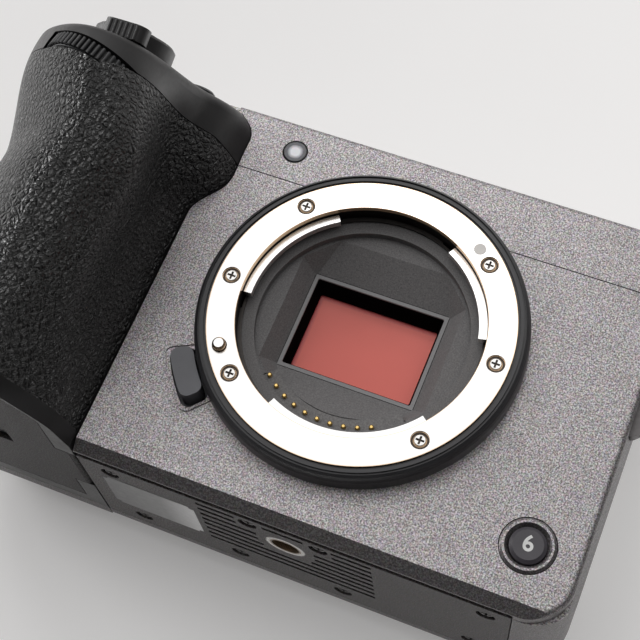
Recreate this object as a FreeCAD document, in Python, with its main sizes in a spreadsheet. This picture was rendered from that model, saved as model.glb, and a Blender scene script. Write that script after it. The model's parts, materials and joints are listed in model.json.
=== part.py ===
"""Cinema camera with an interchangeable-lens bayonet, a deep hand grip and a swing-out monitor.

Frame: +Z up, the lens looks along -Y, +X is right seen from in front of the lens.
Origin: the mouth of the tripod socket, so the camera stands on z = 0.
"""
import FreeCAD, Part
import math
import os
import re
import Sketcher

Vector = FreeCAD.Vector
Rotation = FreeCAD.Rotation
doc = FreeCAD.newDocument("cinema_camera")

# Driving dimensions in millimetres
SIZES = {
    # body block
    "lens_height": 40.0,
    "body_height": 77.8,
    "face_front": 13.0,
    "flange_front": 18.0,
    "rear_depth": 26.0,
    "body_right": 51.5,
    "side_swell": 1.0,
    "side_ramp_front": 4.0,
    "side_ramp_rear": 7.4,
    "side_ramp_top": 2.6,
    "face_left": 41.0,
    "wall": 2.0,
    "floor_wall": 1.8,
    "seam": 0.2,
    "roof_depth": 13.0,
    "rear_seam": 22.0,
    "cover_depth": 3.8,
    "low_corner_round": 8.0,
    "high_corner_round": 5.0,
    "edge_round": 1.2,
    "bevel_high": 2.2,
    "bevel_deep": 1.5,
    "plate_front": 9.0,
    "plate_right": 42.8,
    # grip, common to its levels
    "grip_wall": 2.2,
    "leather": 1.0,
    "leather_low": 3.3,
    "leather_rear": 2.0,
        "brow_start": 21.5,
    "brow_rise": 0.225,
    "slope_start": 8.0,
    "slope_drop": 0.31,
    "slope_step": 0.9,
    "shoulder_round": 2.4,
    "corner_left": 46.4,
    "corner_front": 11.6,
    # lens mount
    "throat_radius": 23.05,
    "mount_radius": 28.34,
    "mount_thick": 2.6,
    "sleeve_radius": 24.0,
    "sleeve_deep": 3.8,
    "lug_radius": 21.4,
    "lug_step": 1.7,
    "lug_thick": 1.5,
    "mount_screw_circle": 25.75,
    "mount_screw_head": 1.65,
    "mount_screw_shank": 0.8,
    "trim_radius": 30.8,
    "trim_bore": 27.2,
    "trim_spigot": 29.0,
    "spring_thick": 0.35,
    "spring_bore": 22.3,
    "pin_circle": 26.1,
    "pin_radius": 1.25,
    "pin_proud": 1.2,
    "release_inner": 31.1,
    "release_outer": 35.4,
    "release_proud": 3.0,
    "release_round": 1.6,
    "release_lip": 0.5,
    "release_line": 0.3,
    "release_start": 208.4,
    "release_sweep": 16.8,
    "running_gap": 0.15,
    # throat and sensor
    "baffle_radius": 22.6,
    "baffle_bore": 20.0,
    "baffle_front": 13.4,
    "baffle_step": 11.8,
    "baffle_rear": 8.2,
    "funnel_half_wide": 16.3,
    "funnel_half_high": 16.6,
    "funnel_corner": 5.6,
    "window_half_wide": 13.5,
    "window_half_high": 10.0,
    "window_rim": 0.7,
    "window_deep": 3.8,
    "filter_half_wide": 11.9,
    "filter_half_high": 7.8,
    "filter_front": 4.0,
    "filter_thick": 1.2,
    "contact_front": 11.9,
    "contact_inner": 17.2,
    "contact_outer": 19.9,
    "contact_circle": 18.9,
    "contact_radius": 0.45,
    "contact_pitch": 7.67,
    "carriage_half_wide": 22.0,
    "carriage_half_high": 16.5,
    "carriage_thick": 3.0,
    "guide_half_wide": 25.5,
    "guide_half_high": 19.5,
    # front controls
    "lamp_left": 26.4,
    "lamp_height": 71.3,
    "lamp_radius": 2.5,
    "front_button_right": 41.5,
    "front_button_height": 12.0,
    "front_button_radius": 3.3,
    "bezel_radius": 5.0,
    # base
    "socket_radius": 3.9,
    "socket_collar": 5.6,
    "socket_bore": 2.7,
    "socket_deep": 6.5,
    "vent_half": 17.0,
    "vent_pitch": 2.86,
    "vent_first": 6.9,
    "vent_wide": 1.2,
    "screw_head": 1.75,
    "screw_shank": 0.8,
    # grip controls
    "dial_left": 57.9,
    "dial_front": 39.3,
    "dial_height": 59.4,
    "dial_radius": 10.65,
    "dial_room": 0.45,
    "dial_thick": 2.6,
    "dial_tilt": 10.8,
    "dial_axle": 1.6,
    "shutter_left": 57.0,
    "shutter_front": 34.0,
    "shutter_radius": 5.2,
    "zoom_radius": 7.8,
    "zoom_high": 3.7,
    "zoom_tab_wide": 8.6,
    "zoom_tab_reach": 10.6,
    "zoom_tab_side": 1.3,
    "zoom_tab_round": 2.2,
    "custom_left": 46.6,
    "custom_front": 21.5,
    "custom_radius": 3.2,
    # battery and card bays
    "battery_right": 49.9,
    "battery_wide": 22.7,
    "battery_deep": 38.7,
    "battery_high": 51.7,
    "battery_rear": 14.7,
    "bay_gap": 0.25,
    "door_thick": 1.7,
    "door_margin": 1.3,
    "door_rear": 18.0,
    "door_right": 45.4,
    "door_hinge": 42.6,
    "door_hinge_high": 0.9,
    "knuckle_radius": 0.85,
    "card_knuckle": 1.65,
    "hinge_pin": 0.45,
    "door_tab_half": 8.5,
    "latch_left": 60.5,
    "latch_front": 5.0,
    "card_door_low": 14.0,
    "card_door_high": 58.0,
    "card_door_front": 1.6,
    "card_door_rear": 19.6,
    "card_door_thick": 1.8,
    # top
    "shoe_inner": 18.6,
    "shoe_gap": 12.6,
    "shoe_high": 2.1,
    "shoe_long": 18.4,
    "shoe_middle": 9.0,
    "bush_bore": 2.7,
    "bush_radius": 4.6,
    "bush_deep": 5.2,
    "record_left": 62.0,
    "record_back": 4.0,
    "record_radius": 4.6,
    "power_left": 46.0,
    "power_back": 14.0,
    "power_radius": 4.4,
    # rear
    "thumb_right": 29.6,
    "thumb_deep": 3.6,
    "wheel_left": 52.0,
    "wheel_height": 23.0,
    "wheel_radius": 12.5,
    "wheel_bore": 5.6,
    "joystick_left": 38.5,
    "joystick_height": 50.0,
    "joystick_radius": 3.4,
    "menu_left": 38.0,
    "menu_height": 10.5,
    "menu_radius": 2.8,
    "rear_dial_left": 63.0,
    "rear_dial_height": 58.5,
    "rear_dial_radius": 9.5,
    # monitor
    "monitor_left": 28.4,
    "monitor_right": 45.4,
    "monitor_low": 9.0,
    "monitor_high": 61.0,
    "monitor_thick": 5.6,
    "monitor_gap": 0.4,
    "monitor_hinge": 48.7,
    "monitor_barrel": 2.6,
    # side with the sockets
    "port_front": 4.6,
    "port_rear": 14.0,
    "port_thick": 1.6,
    # strap lug
    "lug_plate_gap": 0.2,
    "lug_plate_thick": 2.0,
    "lug_plate_low": 38.8,
    "lug_plate_high": 18.0,
    "lug_plate_out": 57.2,
    "lug_plate_round": 1.6,
    "strap_slot_half": 0.95,
    # cooling
    "board_thick": 1.2,
    "sink_fin": 3.2,
    "fan_right": 14.0,
    "fan_height": 34.0,
    "fan_radius": 14.0,
    "fan_thick": 7.0,
}

# Levels of the grip from its foot up: height, front, nose centre, nose radius,
# side, flank half way back, flank where it meets the face
GRIP_LEVELS = {
    "foot": (0.0, 34.5, 60.5, 11.0, 76.5, 43.8, 41.2),
    "heel": (8.0, 37.0, 59.4, 11.0, 77.2, 44.2, 41.2),
    "palm": (22.0, 41.3, 56.9, 11.0, 77.6, 44.6, 41.2),
    "waist": (37.0, 45.6, 55.2, 10.7, 77.6, 44.8, 41.2),
    "swell": (46.0, 47.6, 53.4, 10.6, 77.4, 45.0, 41.2),
    "crest": (52.0, 49.3, 55.2, 11.0, 77.7, 45.2, 41.2),
    "brow": (59.5, 49.9, 57.7, 11.5, 78.1, 44.6, 36.6),
    "crown": (67.0, 48.0, 59.2, 11.5, 78.2, 43.2, 35.8),
    "peak": (73.0, 46.2, 59.4, 11.5, 78.1, 42.6, 37.2),
    "summit": (79.0, 44.2, 59.6, 11.5, 77.9, 42.2, 39.4),
}
GRIP_SECTIONS = 16
LEVEL_FIELDS = ("height", "front", "centre", "radius", "side", "flank", "root")
for level_name, level_values in GRIP_LEVELS.items():
    for field, number in zip(LEVEL_FIELDS, level_values):
        SIZES[f"{level_name}_{field}"] = number

sheet = doc.addObject("Spreadsheet::Sheet", "Sizes")
for row, (name, number) in enumerate(SIZES.items(), start=1):
    sheet.set(f"A{row}", name)
    sheet.set(f"B{row}", str(number))
    sheet.setAlias(f"B{row}", name)
doc.recompute()

# Places that follow from other sizes
DERIVED = {"top_seam": "(body_height - roof_depth)"}
subparts = []


def size(name):
    """Value of one cell of the sheet."""
    return float(sheet.get(name))


def cell(name):
    """One name of a formula as its cell, or as the formula that it stands for."""
    if name in DERIVED:
        return cells(DERIVED[name])
    return f"Sizes.{name}" if name in SIZES else name


def cells(formula):
    """A formula in plain names, with each name turned into its cell."""
    return re.sub(r"[a-z_]+", lambda word: cell(word[0]), str(formula))


def bind(item, prop, formula):
    item.setExpression(prop, cells(formula))


def place(item, x, y, z):
    bind(item, "Placement.Base.x", x)
    bind(item, "Placement.Base.y", y)
    bind(item, "Placement.Base.z", z)


def origin_plane(body, role):
    return next(plane for plane in body.Origin.OriginFeatures if plane.Role == role)


def outline_sketch(body, plane, corners):
    """Closed outline whose corners are all tied to the sheet."""
    sketch = body.newObject("Sketcher::SketchObject", body.Name + "_outline")
    sketch.AttachmentSupport = (origin_plane(body, plane), "")
    sketch.MapMode = "FlatFace"
    count = len(corners)
    rough = [Vector(20 + 9 * math.cos(2 * math.pi * k / count), 9 * math.sin(2 * math.pi * k / count), 0)
             for k in range(count)]
    for k in range(count):
        sketch.addGeometry(Part.LineSegment(rough[k], rough[(k + 1) % count]), False)
    for k in range(count):
        sketch.addConstraint(Sketcher.Constraint("Coincident", k, 2, (k + 1) % count, 1))
    for k, corner in enumerate(corners):
        for kind, formula in zip(("DistanceX", "DistanceY"), corner):
            number = sketch.addConstraint(Sketcher.Constraint(kind, -1, 1, k, 1, 1.0))
            sketch.setExpression(f"Constraints[{number}]", cells(formula))
    return sketch


def plate(name, axis, corners, start, end):
    """Outline of straight edges drawn across an axis and thickened from start to end along it."""
    body = doc.addObject("PartDesign::Body", name)
    plane = {"X": "YZ_Plane", "Y": "XZ_Plane", "Z": "XY_Plane"}[axis]
    sketch = outline_sketch(body, plane, corners)
    pad = body.newObject("PartDesign::Pad", name + "_pad")
    pad.Profile = sketch
    bind(pad, "Length", f"({end}) - ({start})")
    if axis == "Y":
        bind(body, "Placement.Base.y", end)
    elif axis == "X":
        bind(body, "Placement.Base.x", start)
    else:
        bind(body, "Placement.Base.z", start)
    return body


TILT_FORWARD = Vector(1, 0, 0)
TILT_SIDEWAYS = Vector(0, 1, 0)


def turned(name, axis, at, profile, tilt=None, about=TILT_FORWARD):
    """Profile of (radius, distance along the axis) turned about an axis through a point."""
    body = doc.addObject("PartDesign::Body", name)
    plane = "XZ_Plane" if axis == "Z" else "XY_Plane"
    corners = [(along, radius) for radius, along in profile] if axis == "X" else profile
    sketch = outline_sketch(body, plane, corners)
    spin = body.newObject("PartDesign::Revolution", name + "_turn")
    spin.Profile = sketch
    spin.ReferenceAxis = (sketch, ["H_Axis" if axis == "X" else "V_Axis"])
    spin.Angle = 360
    if tilt is not None:
        body.Placement = FreeCAD.Placement(Vector(), Rotation(about, 1))
        bind(body, "Placement.Rotation.Angle", tilt)
    place(body, *at)
    return body


def block(name, x, y, z):
    """Box between three pairs of planes."""
    item = doc.addObject("Part::Box", name)
    for prop, (low, high) in zip(("Length", "Width", "Height"), (x, y, z)):
        bind(item, prop, f"({high}) - ({low})")
    place(item, x[0], y[0], z[0])
    return item


TURN_TO_AXIS = {
    "X": Rotation(Vector(0, 1, 0), 90),
    "Y": Rotation(Vector(1, 0, 0), -90),
    "Z": Rotation(),
}


def rod(name, axis, at, radius, length, tilt=None, about=TILT_FORWARD):
    """Round bar from a point along an axis."""
    item = doc.addObject("Part::Cylinder", name)
    item.Placement = FreeCAD.Placement(Vector(), TURN_TO_AXIS[axis])
    if tilt is not None:
        item.Placement = FreeCAD.Placement(Vector(), Rotation(about, 1))
        bind(item, "Placement.Rotation.Angle", tilt)
    bind(item, "Radius", radius)
    bind(item, "Height", length)
    place(item, *at)
    return item


def fuse(name, *items):
    item = doc.addObject("Part::MultiFuse", name)
    item.Shapes = list(items)
    return item


def cut(name, base, *tools):
    item = doc.addObject("Part::Cut", name)
    item.Base = base
    item.Tool = tools[0] if len(tools) == 1 else fuse(name + "_tools", *tools)
    return item


def common(name, base, tool):
    item = doc.addObject("Part::Common", name)
    item.Base = base
    item.Tool = tool
    return item


def soften(name, base, radius, chosen):
    """Fillet on the edges that a test picks."""
    doc.recompute()
    picked = [(k, size(radius), size(radius))
              for k, edge in enumerate(base.Shape.Edges, start=1) if chosen(edge)]
    item = doc.addObject("Part::Fillet", name)
    item.Base = base
    item.Edges = picked
    return item


def sector(name, inner, outer, rear, front, start, sweep):
    """Part of a ring about the lens axis; angles run from +X towards +Z seen from the front."""
    pieces = []
    for tag, radius in (("full", outer), ("bore", inner)):
        drum = doc.addObject("Part::Cylinder", f"{name}_{tag}")
        turn = Rotation(Vector(1, 0, 0), -90).multiply(Rotation(Vector(0, 0, 1), -(start + sweep)))
        drum.Placement = FreeCAD.Placement(Vector(), turn)
        bind(drum, "Radius", radius)
        bind(drum, "Height", f"({rear}) - ({front})")
        place(drum, "0", front, "lens_height")
        if tag == "full":
            drum.Angle = sweep
        pieces.append(drum)
    return cut(name, *pieces)


def release_arc(margin):
    """Start and sweep of the release button's arc, widened at both ends by an angle."""
    return size("release_start") - margin, size("release_sweep") + 2 * margin


def finish(name, item):
    """Record an object as the sub-part with this name."""
    item.Label = name
    subparts.append(item)
    return item


def along_edge(edge, axis):
    """True for a straight edge parallel to an axis."""
    if edge.Curve.TypeId != "Part::GeomLine":
        return False
    return abs(abs(edge.tangentAt(edge.FirstParameter).dot(axis)) - 1) < 1e-6


# Forms that the covers are cut from
FACE = "-face_front"
FLANGE = "-flange_front"
MOUTH = ("0", "0", "lens_height")
FAR = 120


def body_block(name, inset, swell="0"):
    """Rounded block of the body behind the lens face, or the room inside its walls."""
    left = "-face_left" if inset is None else "-face_left + wall"
    right = f"body_right + {swell}" if inset is None else "body_right - wall"
    low = "0" if inset is None else "floor_wall"
    high = "body_height" if inset is None else "body_height - wall"
    front = FACE if inset is None else "-face_front + wall"
    rear = "rear_depth" if inset is None else "rear_depth - wall"
    body = plate(name, "Y", [(left, low), (right, low), (right, high), (left, high)], front, rear)
    base = body.Tip
    for tag, radius, at_top in (("low", "low_corner_round", False), ("high", "high_corner_round", True)):
        doc.recompute()
        box = base.Shape.BoundBox
        level = box.ZMax if at_top else box.ZMin
        names = []
        for k, edge in enumerate(base.Shape.Edges, start=1):
            middle = edge.CenterOfMass
            at_corner = abs(middle.x - box.XMax) < 0.01 and abs(middle.z - level) < 0.01
            if at_corner and along_edge(edge, Vector(0, 1, 0)):
                names.append(f"Edge{k}")
        rounding = body.newObject("PartDesign::Fillet", f"{name}_{tag}_round")
        rounding.Base = (base, names)
        bind(rounding, "Radius", radius if inset is None else f"{radius} - wall")
        base = rounding
    return body


def between_levels(field, height):
    """Value at a height on a smooth curve through the levels that never overshoots them."""
    heights = [size(f"{level}_height") for level in GRIP_LEVELS]
    values = [size(f"{level}_{field}") for level in GRIP_LEVELS]
    steps = [(values[k + 1] - values[k]) / (heights[k + 1] - heights[k]) for k in range(len(heights) - 1)]
    slopes = [0.0]
    for before, after in zip(steps, steps[1:]):
        slopes.append(2 * before * after / (before + after) if before * after > 0 else 0.0)
    slopes.append(0.0)
    k = max(n for n in range(len(steps)) if heights[n] <= height)
    span = heights[k + 1] - heights[k]
    part = (height - heights[k]) / span
    start = (1 + 2 * part) * (1 - part) ** 2 * values[k] + part * (1 - part) ** 2 * span * slopes[k]
    return start + part ** 2 * (3 - 2 * part) * values[k + 1] - part ** 2 * (1 - part) * span * slopes[k + 1]


def grip_outline(height, inset):
    """Closed outline of the grip at one height, moved inwards by inset."""
    values = {field: between_levels(field, height) for field in LEVEL_FIELDS}
    radius = values["radius"] - inset
    nose = Vector(-values["centre"], values["radius"] - values["front"], height)
    side = -values["side"] + inset
    root = Vector(-values["root"] - inset, -size("face_front"), height)
    reach = values["front"] - size("face_front")
    flank = Vector(-values["flank"] - inset, -size("face_front") - 0.38 * reach, height)
    rear = size("rear_depth") - max(inset, 0.0)
    side_start = Vector(side, -size("face_front") + 0.25 * reach, height)
    points = [
        side_start,
        nose + Vector(-0.876, -0.482, 0) * radius,
        nose + Vector(0, -1, 0) * radius,
        nose + Vector(0.866, -0.5, 0) * radius,
        flank,
        root,
    ]
    nose_line = Part.BSplineCurve()
    nose_line.interpolate(Points=points, InitialTangent=Vector(0, -1, 0), FinalTangent=Vector(0.3, 1, 0))
    corner = 4.0 - max(inset, 0.0) / 2
    rear_right = Vector(root.x, rear, height)
    rear_left = Vector(side + corner, rear, height)
    side_end = Vector(side, rear - corner, height)
    knee = Vector(side + corner * (1 - math.sqrt(0.5)), rear - corner * (1 - math.sqrt(0.5)), height)
    return Part.Wire([
        Part.LineSegment(rear_right, rear_left).toShape(),
        Part.Arc(rear_left, knee, side_end).toShape(),
        Part.LineSegment(side_end, side_start).toShape(),
        nose_line.toShape(),
        Part.LineSegment(root, rear_right).toShape(),
    ])


def grip_form(name, inset):
    """Loft through outlines evenly spaced up the grip."""
    item = doc.addObject("Part::Feature", name)
    top = size("summit_height")
    outlines = [grip_outline(top * k / GRIP_SECTIONS, inset) for k in range(GRIP_SECTIONS + 1)]
    item.Shape = Part.makeLoft(outlines, True, False)
    item.Placement = FreeCAD.Placement()
    return item


def slope_at(front):
    """Formula for the height of the sloping shoulder at a distance in front of the origin."""
    return f"(body_height - slope_step - slope_drop * (({front}) - slope_start))"


envelope = body_block("body_envelope", None)
room = body_block("body_room", "wall")
bevel = plate("bevel_tool", "X", [
    ("-face_front - 1", "-1"), ("-face_front + bevel_deep", "-1"), ("-face_front + bevel_deep", "0"),
    ("-face_front", "bevel_high"), ("-face_front - 1", "bevel_high"),
], "-face_left - 1", "body_right + 1")
bevelled = cut("bevelled_block", envelope, bevel)


def on_front_edge(edge):
    """Edges of the lens face other than the bevelled bottom and the grip side."""
    middle = edge.CenterOfMass
    on_face = abs(edge.BoundBox.YMin + size("face_front")) < 0.01 and edge.BoundBox.YLength < 0.01
    return on_face and middle.z > size("bevel_high") + 0.5 and middle.x > -size("face_left") + 1


def on_rear_edge(edge):
    middle = edge.CenterOfMass
    on_back = abs(edge.BoundBox.YMax - size("rear_depth")) < 0.01 and edge.BoundBox.YLength < 0.01
    return on_back and middle.x > -size("face_left") + 1


outer_block = soften("body_outside", bevelled, "edge_round", lambda e: on_front_edge(e) or on_rear_edge(e))
grip_outside = grip_form("grip_outside", 0.0)
grip_clear = grip_form("grip_clear", -size("seam"))
grip_skin_back = grip_form("grip_skin_back", size("leather"))
grip_inside = grip_form("grip_inside", size("grip_wall"))

# Front cover: lens face with its bevel, open to the rear
front_zone = block("front_zone", ("-face_left + seam", "body_right + 1"),
                   ("-face_front - 1", "-face_front + cover_depth"),
                   ("-1", "top_seam - seam"))
front_shell = common("front_shell", cut("front_walls", outer_block, room), front_zone)
front_groove = block("front_groove", ("-face_left - 1", "plate_right + seam"),
                     ("-face_front + wall", "-face_front + cover_depth + 1"), ("-1", "floor_wall + 0.01"))
mount_hole = rod("mount_hole", "Y", ("0", "-face_front - 1", "lens_height"), "trim_spigot + running_gap",
                 "wall + 2")
release_hole = soften("release_hole", sector("release_hole_sector", "release_inner - release_lip",
                                             "release_outer + release_lip", "-face_front + wall + 1",
                                             "-face_front - 1", *release_arc(1.4)),
                      "release_round", lambda e: along_edge(e, Vector(0, 1, 0)))
release_line_outside = soften("release_line_outside", sector(
    "release_line_outside_sector", "release_inner - 2", "release_outer + 1.05 + release_line",
    "-face_front + release_line", "-face_front - 1", *release_arc(2.8)),
    "release_round", lambda e: along_edge(e, Vector(0, 1, 0)))
release_line_inside = soften("release_line_inside", sector(
    "release_line_inside_sector", "release_inner - 2", "release_outer + 1.05",
    "-face_front + release_line + 1", "-face_front - 2", *release_arc(2.3)),
    "release_round", lambda e: along_edge(e, Vector(0, 1, 0)))
release_groove = cut("release_groove", release_line_outside, release_line_inside)
bezel_hole = rod("bezel_hole", "Y", ("front_button_right", "-face_front - 1", "front_button_height"),
                 "bezel_radius + running_gap", "wall + 2")
finish("front_cover", cut("front_cover", front_shell, front_groove, mount_hole, release_hole,
                          release_groove, bezel_hole, grip_clear))

# Top cover: roof with skirts, cut away over the grip's shoulder
top_zone = block("top_zone", (-FAR, FAR), (-FAR, FAR), ("top_seam", "body_height"))
shoulder_zones = fuse("shoulder_zones",
                      block("shoulder_side_zone", (-FAR, "-corner_left"), (-FAR, "-slope_start"),
                            ("top_seam - 1", "body_height + 1")),
                      block("shoulder_face_zone", ("-corner_left - 1", "-30"), (-FAR, "-corner_front"),
                            ("top_seam - 1", "body_height + 1")))
shoulder_clear = common("shoulder_clear", grip_clear, shoulder_zones)
top_solid = common("top_solid", fuse("whole_outside", outer_block, grip_outside), top_zone)
left_room = common("left_room", grip_inside, block("left_room_zone", (-FAR, "-face_left - wall"),
                                                   ("-slope_start + wall", "rear_depth - wall"),
                                                   ("top_seam - 1", "body_height - wall")))
shoe_pocket = block("shoe_pocket", ("-shoe_inner / 2 - 2", "shoe_inner / 2 + 2"),
                    ("shoe_middle - shoe_long / 2", "shoe_middle + shoe_long / 2"),
                    ("body_height - 1.2", "body_height + 1"))
lamp_hole = rod("lamp_hole", "Y", ("-lamp_left", "-face_front - 1", "lamp_height"), "lamp_radius + 0.05",
                "wall + 2")
record_hole = rod("record_hole", "Z", ("-record_left", "record_back", "body_height - wall - 1"),
                  "record_radius + running_gap", "wall + 2")
power_hole = rod("power_hole", "Z", ("-power_left", "power_back", "body_height - wall - 1"), "1.6",
                 "wall + 2")
BUSH_SPOTS = {"left": ("-28", "6"), "right_front": ("32", "-2"), "right_rear": ("32", "17")}
bush_holes = [rod(f"bush_hole_{spot}", "Z", (x, y, "body_height - wall - 1"), "bush_radius + 0.05",
                  "wall + 2")
              for spot, (x, y) in BUSH_SPOTS.items()]
finish("top_cover", cut("top_cover", top_solid, room, shoulder_clear, left_room, shoe_pocket, mount_hole,
                        lamp_hole, record_hole, power_hole, *bush_holes))

# Rear cover: back wall with the raised thumb rest
rear_zone = block("rear_zone", (-FAR, FAR), ("rear_seam + seam", "rear_depth + 1"),
                  ("-1", "top_seam - seam"))
rear_walls = common("rear_walls", fuse("whole_outside_rear", outer_block, grip_outside), rear_zone)
thumb_box = block("thumb_box", ("-palm_side + 2.6", "-thumb_right"),
                  ("rear_depth - 0.5", "rear_depth + thumb_deep"),
                  ("2.5", "top_seam - seam"))
thumb_rest = soften("thumb_rest", thumb_box, "edge_round",
                    lambda e: abs(e.BoundBox.YMin - size("rear_depth") - size("thumb_deep")) < 0.01)
rear_left_room = common("rear_left_room", grip_inside,
                        block("rear_left_zone", (-FAR, "-face_left - wall"),
                              ("rear_seam", "rear_depth - wall"),
                              ("floor_wall", "top_seam")))
BACK = "(rear_depth + thumb_deep)"
wheel_pocket = rod("wheel_pocket", "Y", ("-wheel_left", f"{BACK} - 2.4", "wheel_height"),
                   "wheel_radius + running_gap", "6")
wheel_post_hole = rod("wheel_post_hole", "Y", ("-wheel_left", "rear_depth - wall - 1", "wheel_height"),
                      "wheel_bore - 1.2", "12")
joystick_hole = rod("joystick_hole", "Y", ("-joystick_left", "rear_depth - wall - 1", "joystick_height"),
                    "joystick_radius + 1.6", "12")
menu_hole = rod("menu_hole", "Y", ("-menu_left", "rear_depth - wall - 1", "menu_height"),
                "menu_radius + running_gap", "12")
menu_pocket = rod("menu_pocket", "Y", ("-menu_left", "rear_depth - wall - 1.9", "menu_height"),
                  "menu_radius + 1.0", "1.9")
rear_dial_hole = rod("rear_dial_hole", "Z",
                     ("-rear_dial_left", "rear_depth - 4.4", "rear_dial_height - 2.2"),
                     "rear_dial_radius + 0.3", "4.4")
finish("rear_cover", cut("rear_cover", fuse("rear_solid", rear_walls, thumb_rest), room, rear_left_room,
                         wheel_pocket, wheel_post_hole, joystick_hole, menu_hole, menu_pocket,
                         rear_dial_hole))

# Side cover: wall with the sockets, and the rounded lower corner. It swells out past the front cover.
SIDE_OUT = "(body_right + side_swell)"
SIDE_FRONT = "(-face_front + cover_depth + seam)"
side_zone = block("side_zone", ("plate_right + seam", f"{SIDE_OUT} + 1"), (SIDE_FRONT, "rear_seam"),
                  ("-1", "top_seam - seam"))
side_outside = body_block("side_outside", None, "side_swell")
front_ramp = plate("side_front_ramp", "Z", [
    ("body_right", SIDE_FRONT), (SIDE_OUT, f"{SIDE_FRONT} + side_ramp_front"),
    (f"{SIDE_OUT} + 1", f"{SIDE_FRONT} + side_ramp_front"), (f"{SIDE_OUT} + 1", f"{SIDE_FRONT} - 1"),
    ("body_right", f"{SIDE_FRONT} - 1"),
], "-1", "body_height + 1")
rear_ramp = plate("side_rear_ramp", "Z", [
    ("body_right", "rear_seam"), (SIDE_OUT, "rear_seam - side_ramp_rear"),
    (f"{SIDE_OUT} + 1", "rear_seam - side_ramp_rear"), (f"{SIDE_OUT} + 1", "rear_depth + 1"),
    ("body_right", "rear_depth + 1"),
], "-1", "body_height + 1")
top_ramp = plate("side_top_ramp", "Y", [
    ("body_right", "top_seam - seam"), (SIDE_OUT, "top_seam - seam - side_ramp_top"),
    (f"{SIDE_OUT} + 1", "top_seam - seam - side_ramp_top"), (f"{SIDE_OUT} + 1", "body_height + 1"),
    ("body_right", "body_height + 1"),
], "-face_front - 1", "rear_depth + 1")
side_form = cut("side_form", side_outside, front_ramp, rear_ramp, top_ramp)
side_shell = common("side_shell", cut("side_walls", side_form, room), side_zone)
PORT_DOORS = {"upper": (35.5, 59.5), "lower": (12.0, 33.0)}
port_openings = [block(f"{door}_port_opening", ("body_right - wall - 1", f"{SIDE_OUT} + 1"),
                       ("-port_front - 0.25", "port_rear + 0.25"), (low - 0.25, high + 0.25))
                 for door, (low, high) in PORT_DOORS.items()]
side_bush_hole = rod("side_bush_hole", "X", ("body_right - wall - 1", "18", "54"), "bush_bore + 1",
                     "wall + side_swell + 2")
lug_notch = block("lug_notch", ("body_right - wall - 1", f"{SIDE_OUT} + 1"),
                  (f"{SIDE_FRONT} - 1", f"{SIDE_FRONT} + lug_plate_gap + lug_plate_thick + 0.15"),
                  ("lug_plate_low - 0.15", "lug_plate_low + lug_plate_high + 0.15"))
finish("side_cover", cut("side_cover", side_shell, side_bush_hole, lug_notch, *port_openings))

# Strap lug: a plate behind the front cover that stands out through the side cover's front edge
lug_plate = plate("lug_plate", "Y", [
    ("body_right - wall - 6.5", "lug_plate_low"), (f"{SIDE_OUT} - 0.2", "lug_plate_low"),
    ("lug_plate_out", "lug_plate_low + 4.6"), ("lug_plate_out", "lug_plate_low + lug_plate_high - 4.6"),
    (f"{SIDE_OUT} - 0.2", "lug_plate_low + lug_plate_high"),
    ("body_right - wall - 6.5", "lug_plate_low + lug_plate_high"),
], f"{SIDE_FRONT} + lug_plate_gap", f"{SIDE_FRONT} + lug_plate_gap + lug_plate_thick")
lug_rounded = soften("lug_rounded", lug_plate, "lug_plate_round",
                     lambda e: along_edge(e, Vector(0, 1, 0)) and e.CenterOfMass.x > size("body_right"))
strap_slot = fuse("strap_slot", *[
    rod(f"strap_slot_{tag}", "Y", ("lug_plate_out - 2.6", f"{SIDE_FRONT} - 1", height), "strap_slot_half", "6")
    for tag, height in (("low", "lug_plate_low + 5.4"), ("high", "lug_plate_low + lug_plate_high - 5.4"))],
    block("strap_slot_middle", ("lug_plate_out - 2.6 - strap_slot_half", "lug_plate_out - 2.6 + strap_slot_half"),
          (f"{SIDE_FRONT} - 1", f"{SIDE_FRONT} + 5"),
          ("lug_plate_low + 5.4", "lug_plate_low + lug_plate_high - 5.4")))
finish("strap_lug", cut("strap_lug", lug_rounded, strap_slot))

# Base plate with its cooling slots, counterbored for the screws
plate_zone = block("plate_zone", ("-face_left + seam", "plate_right"), ("-plate_front", "rear_seam"),
                   ("-1", "floor_wall"))
BASE_SCREWS = [(-34.7, -5.0), (-6.9, -6.0), (6.9, -6.0), (38.3, -4.6), (-32.2, 17.8), (-11.3, 17.8),
               (10.2, 17.8), (36.0, 17.8)]
plate_cuts = [rod("plate_socket_hole", "Z", ("0", "0", "-1"), "socket_radius + 0.05", "floor_wall + 2")]
for k, (x, y) in enumerate(BASE_SCREWS):
    plate_cuts.append(rod(f"plate_counterbore_{k}", "Z", (x, y, "-1"), "screw_head + 0.1", "2.15"))
    plate_cuts.append(rod(f"plate_screw_hole_{k}", "Z", (x, y, "-1"), "screw_shank + 0.1", "4"))
VENT_SPANS = [
    [("-vent_half", "-9.4"), ("-4", "4"), ("9.4", "vent_half")],
    [("-vent_half", "-9.4"), ("9.4", "vent_half")],
    [("-vent_half", "-5.7"), ("5.7", "vent_half")],
    [("-vent_half", "-5.7"), ("5.7", "vent_half")],
    [("-vent_half", "-4.8"), ("4.8", "vent_half")],
    [("-vent_half", "vent_half")],
    [("-vent_half", "vent_half")],
    [("-vent_half", "vent_half")],
]
for k, spans in enumerate(VENT_SPANS):
    middle = f"-vent_first + {k} * vent_pitch"
    for n, (left, right) in enumerate(spans):
        plate_cuts.append(block(f"vent_{k}_{n}", (left, right),
                                (f"{middle} - vent_wide / 2", f"{middle} + vent_wide / 2"),
                                ("-1", "floor_wall + 1")))
finish("base_plate", cut("base_plate", common("base_blank", outer_block, plate_zone), *plate_cuts))

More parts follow.
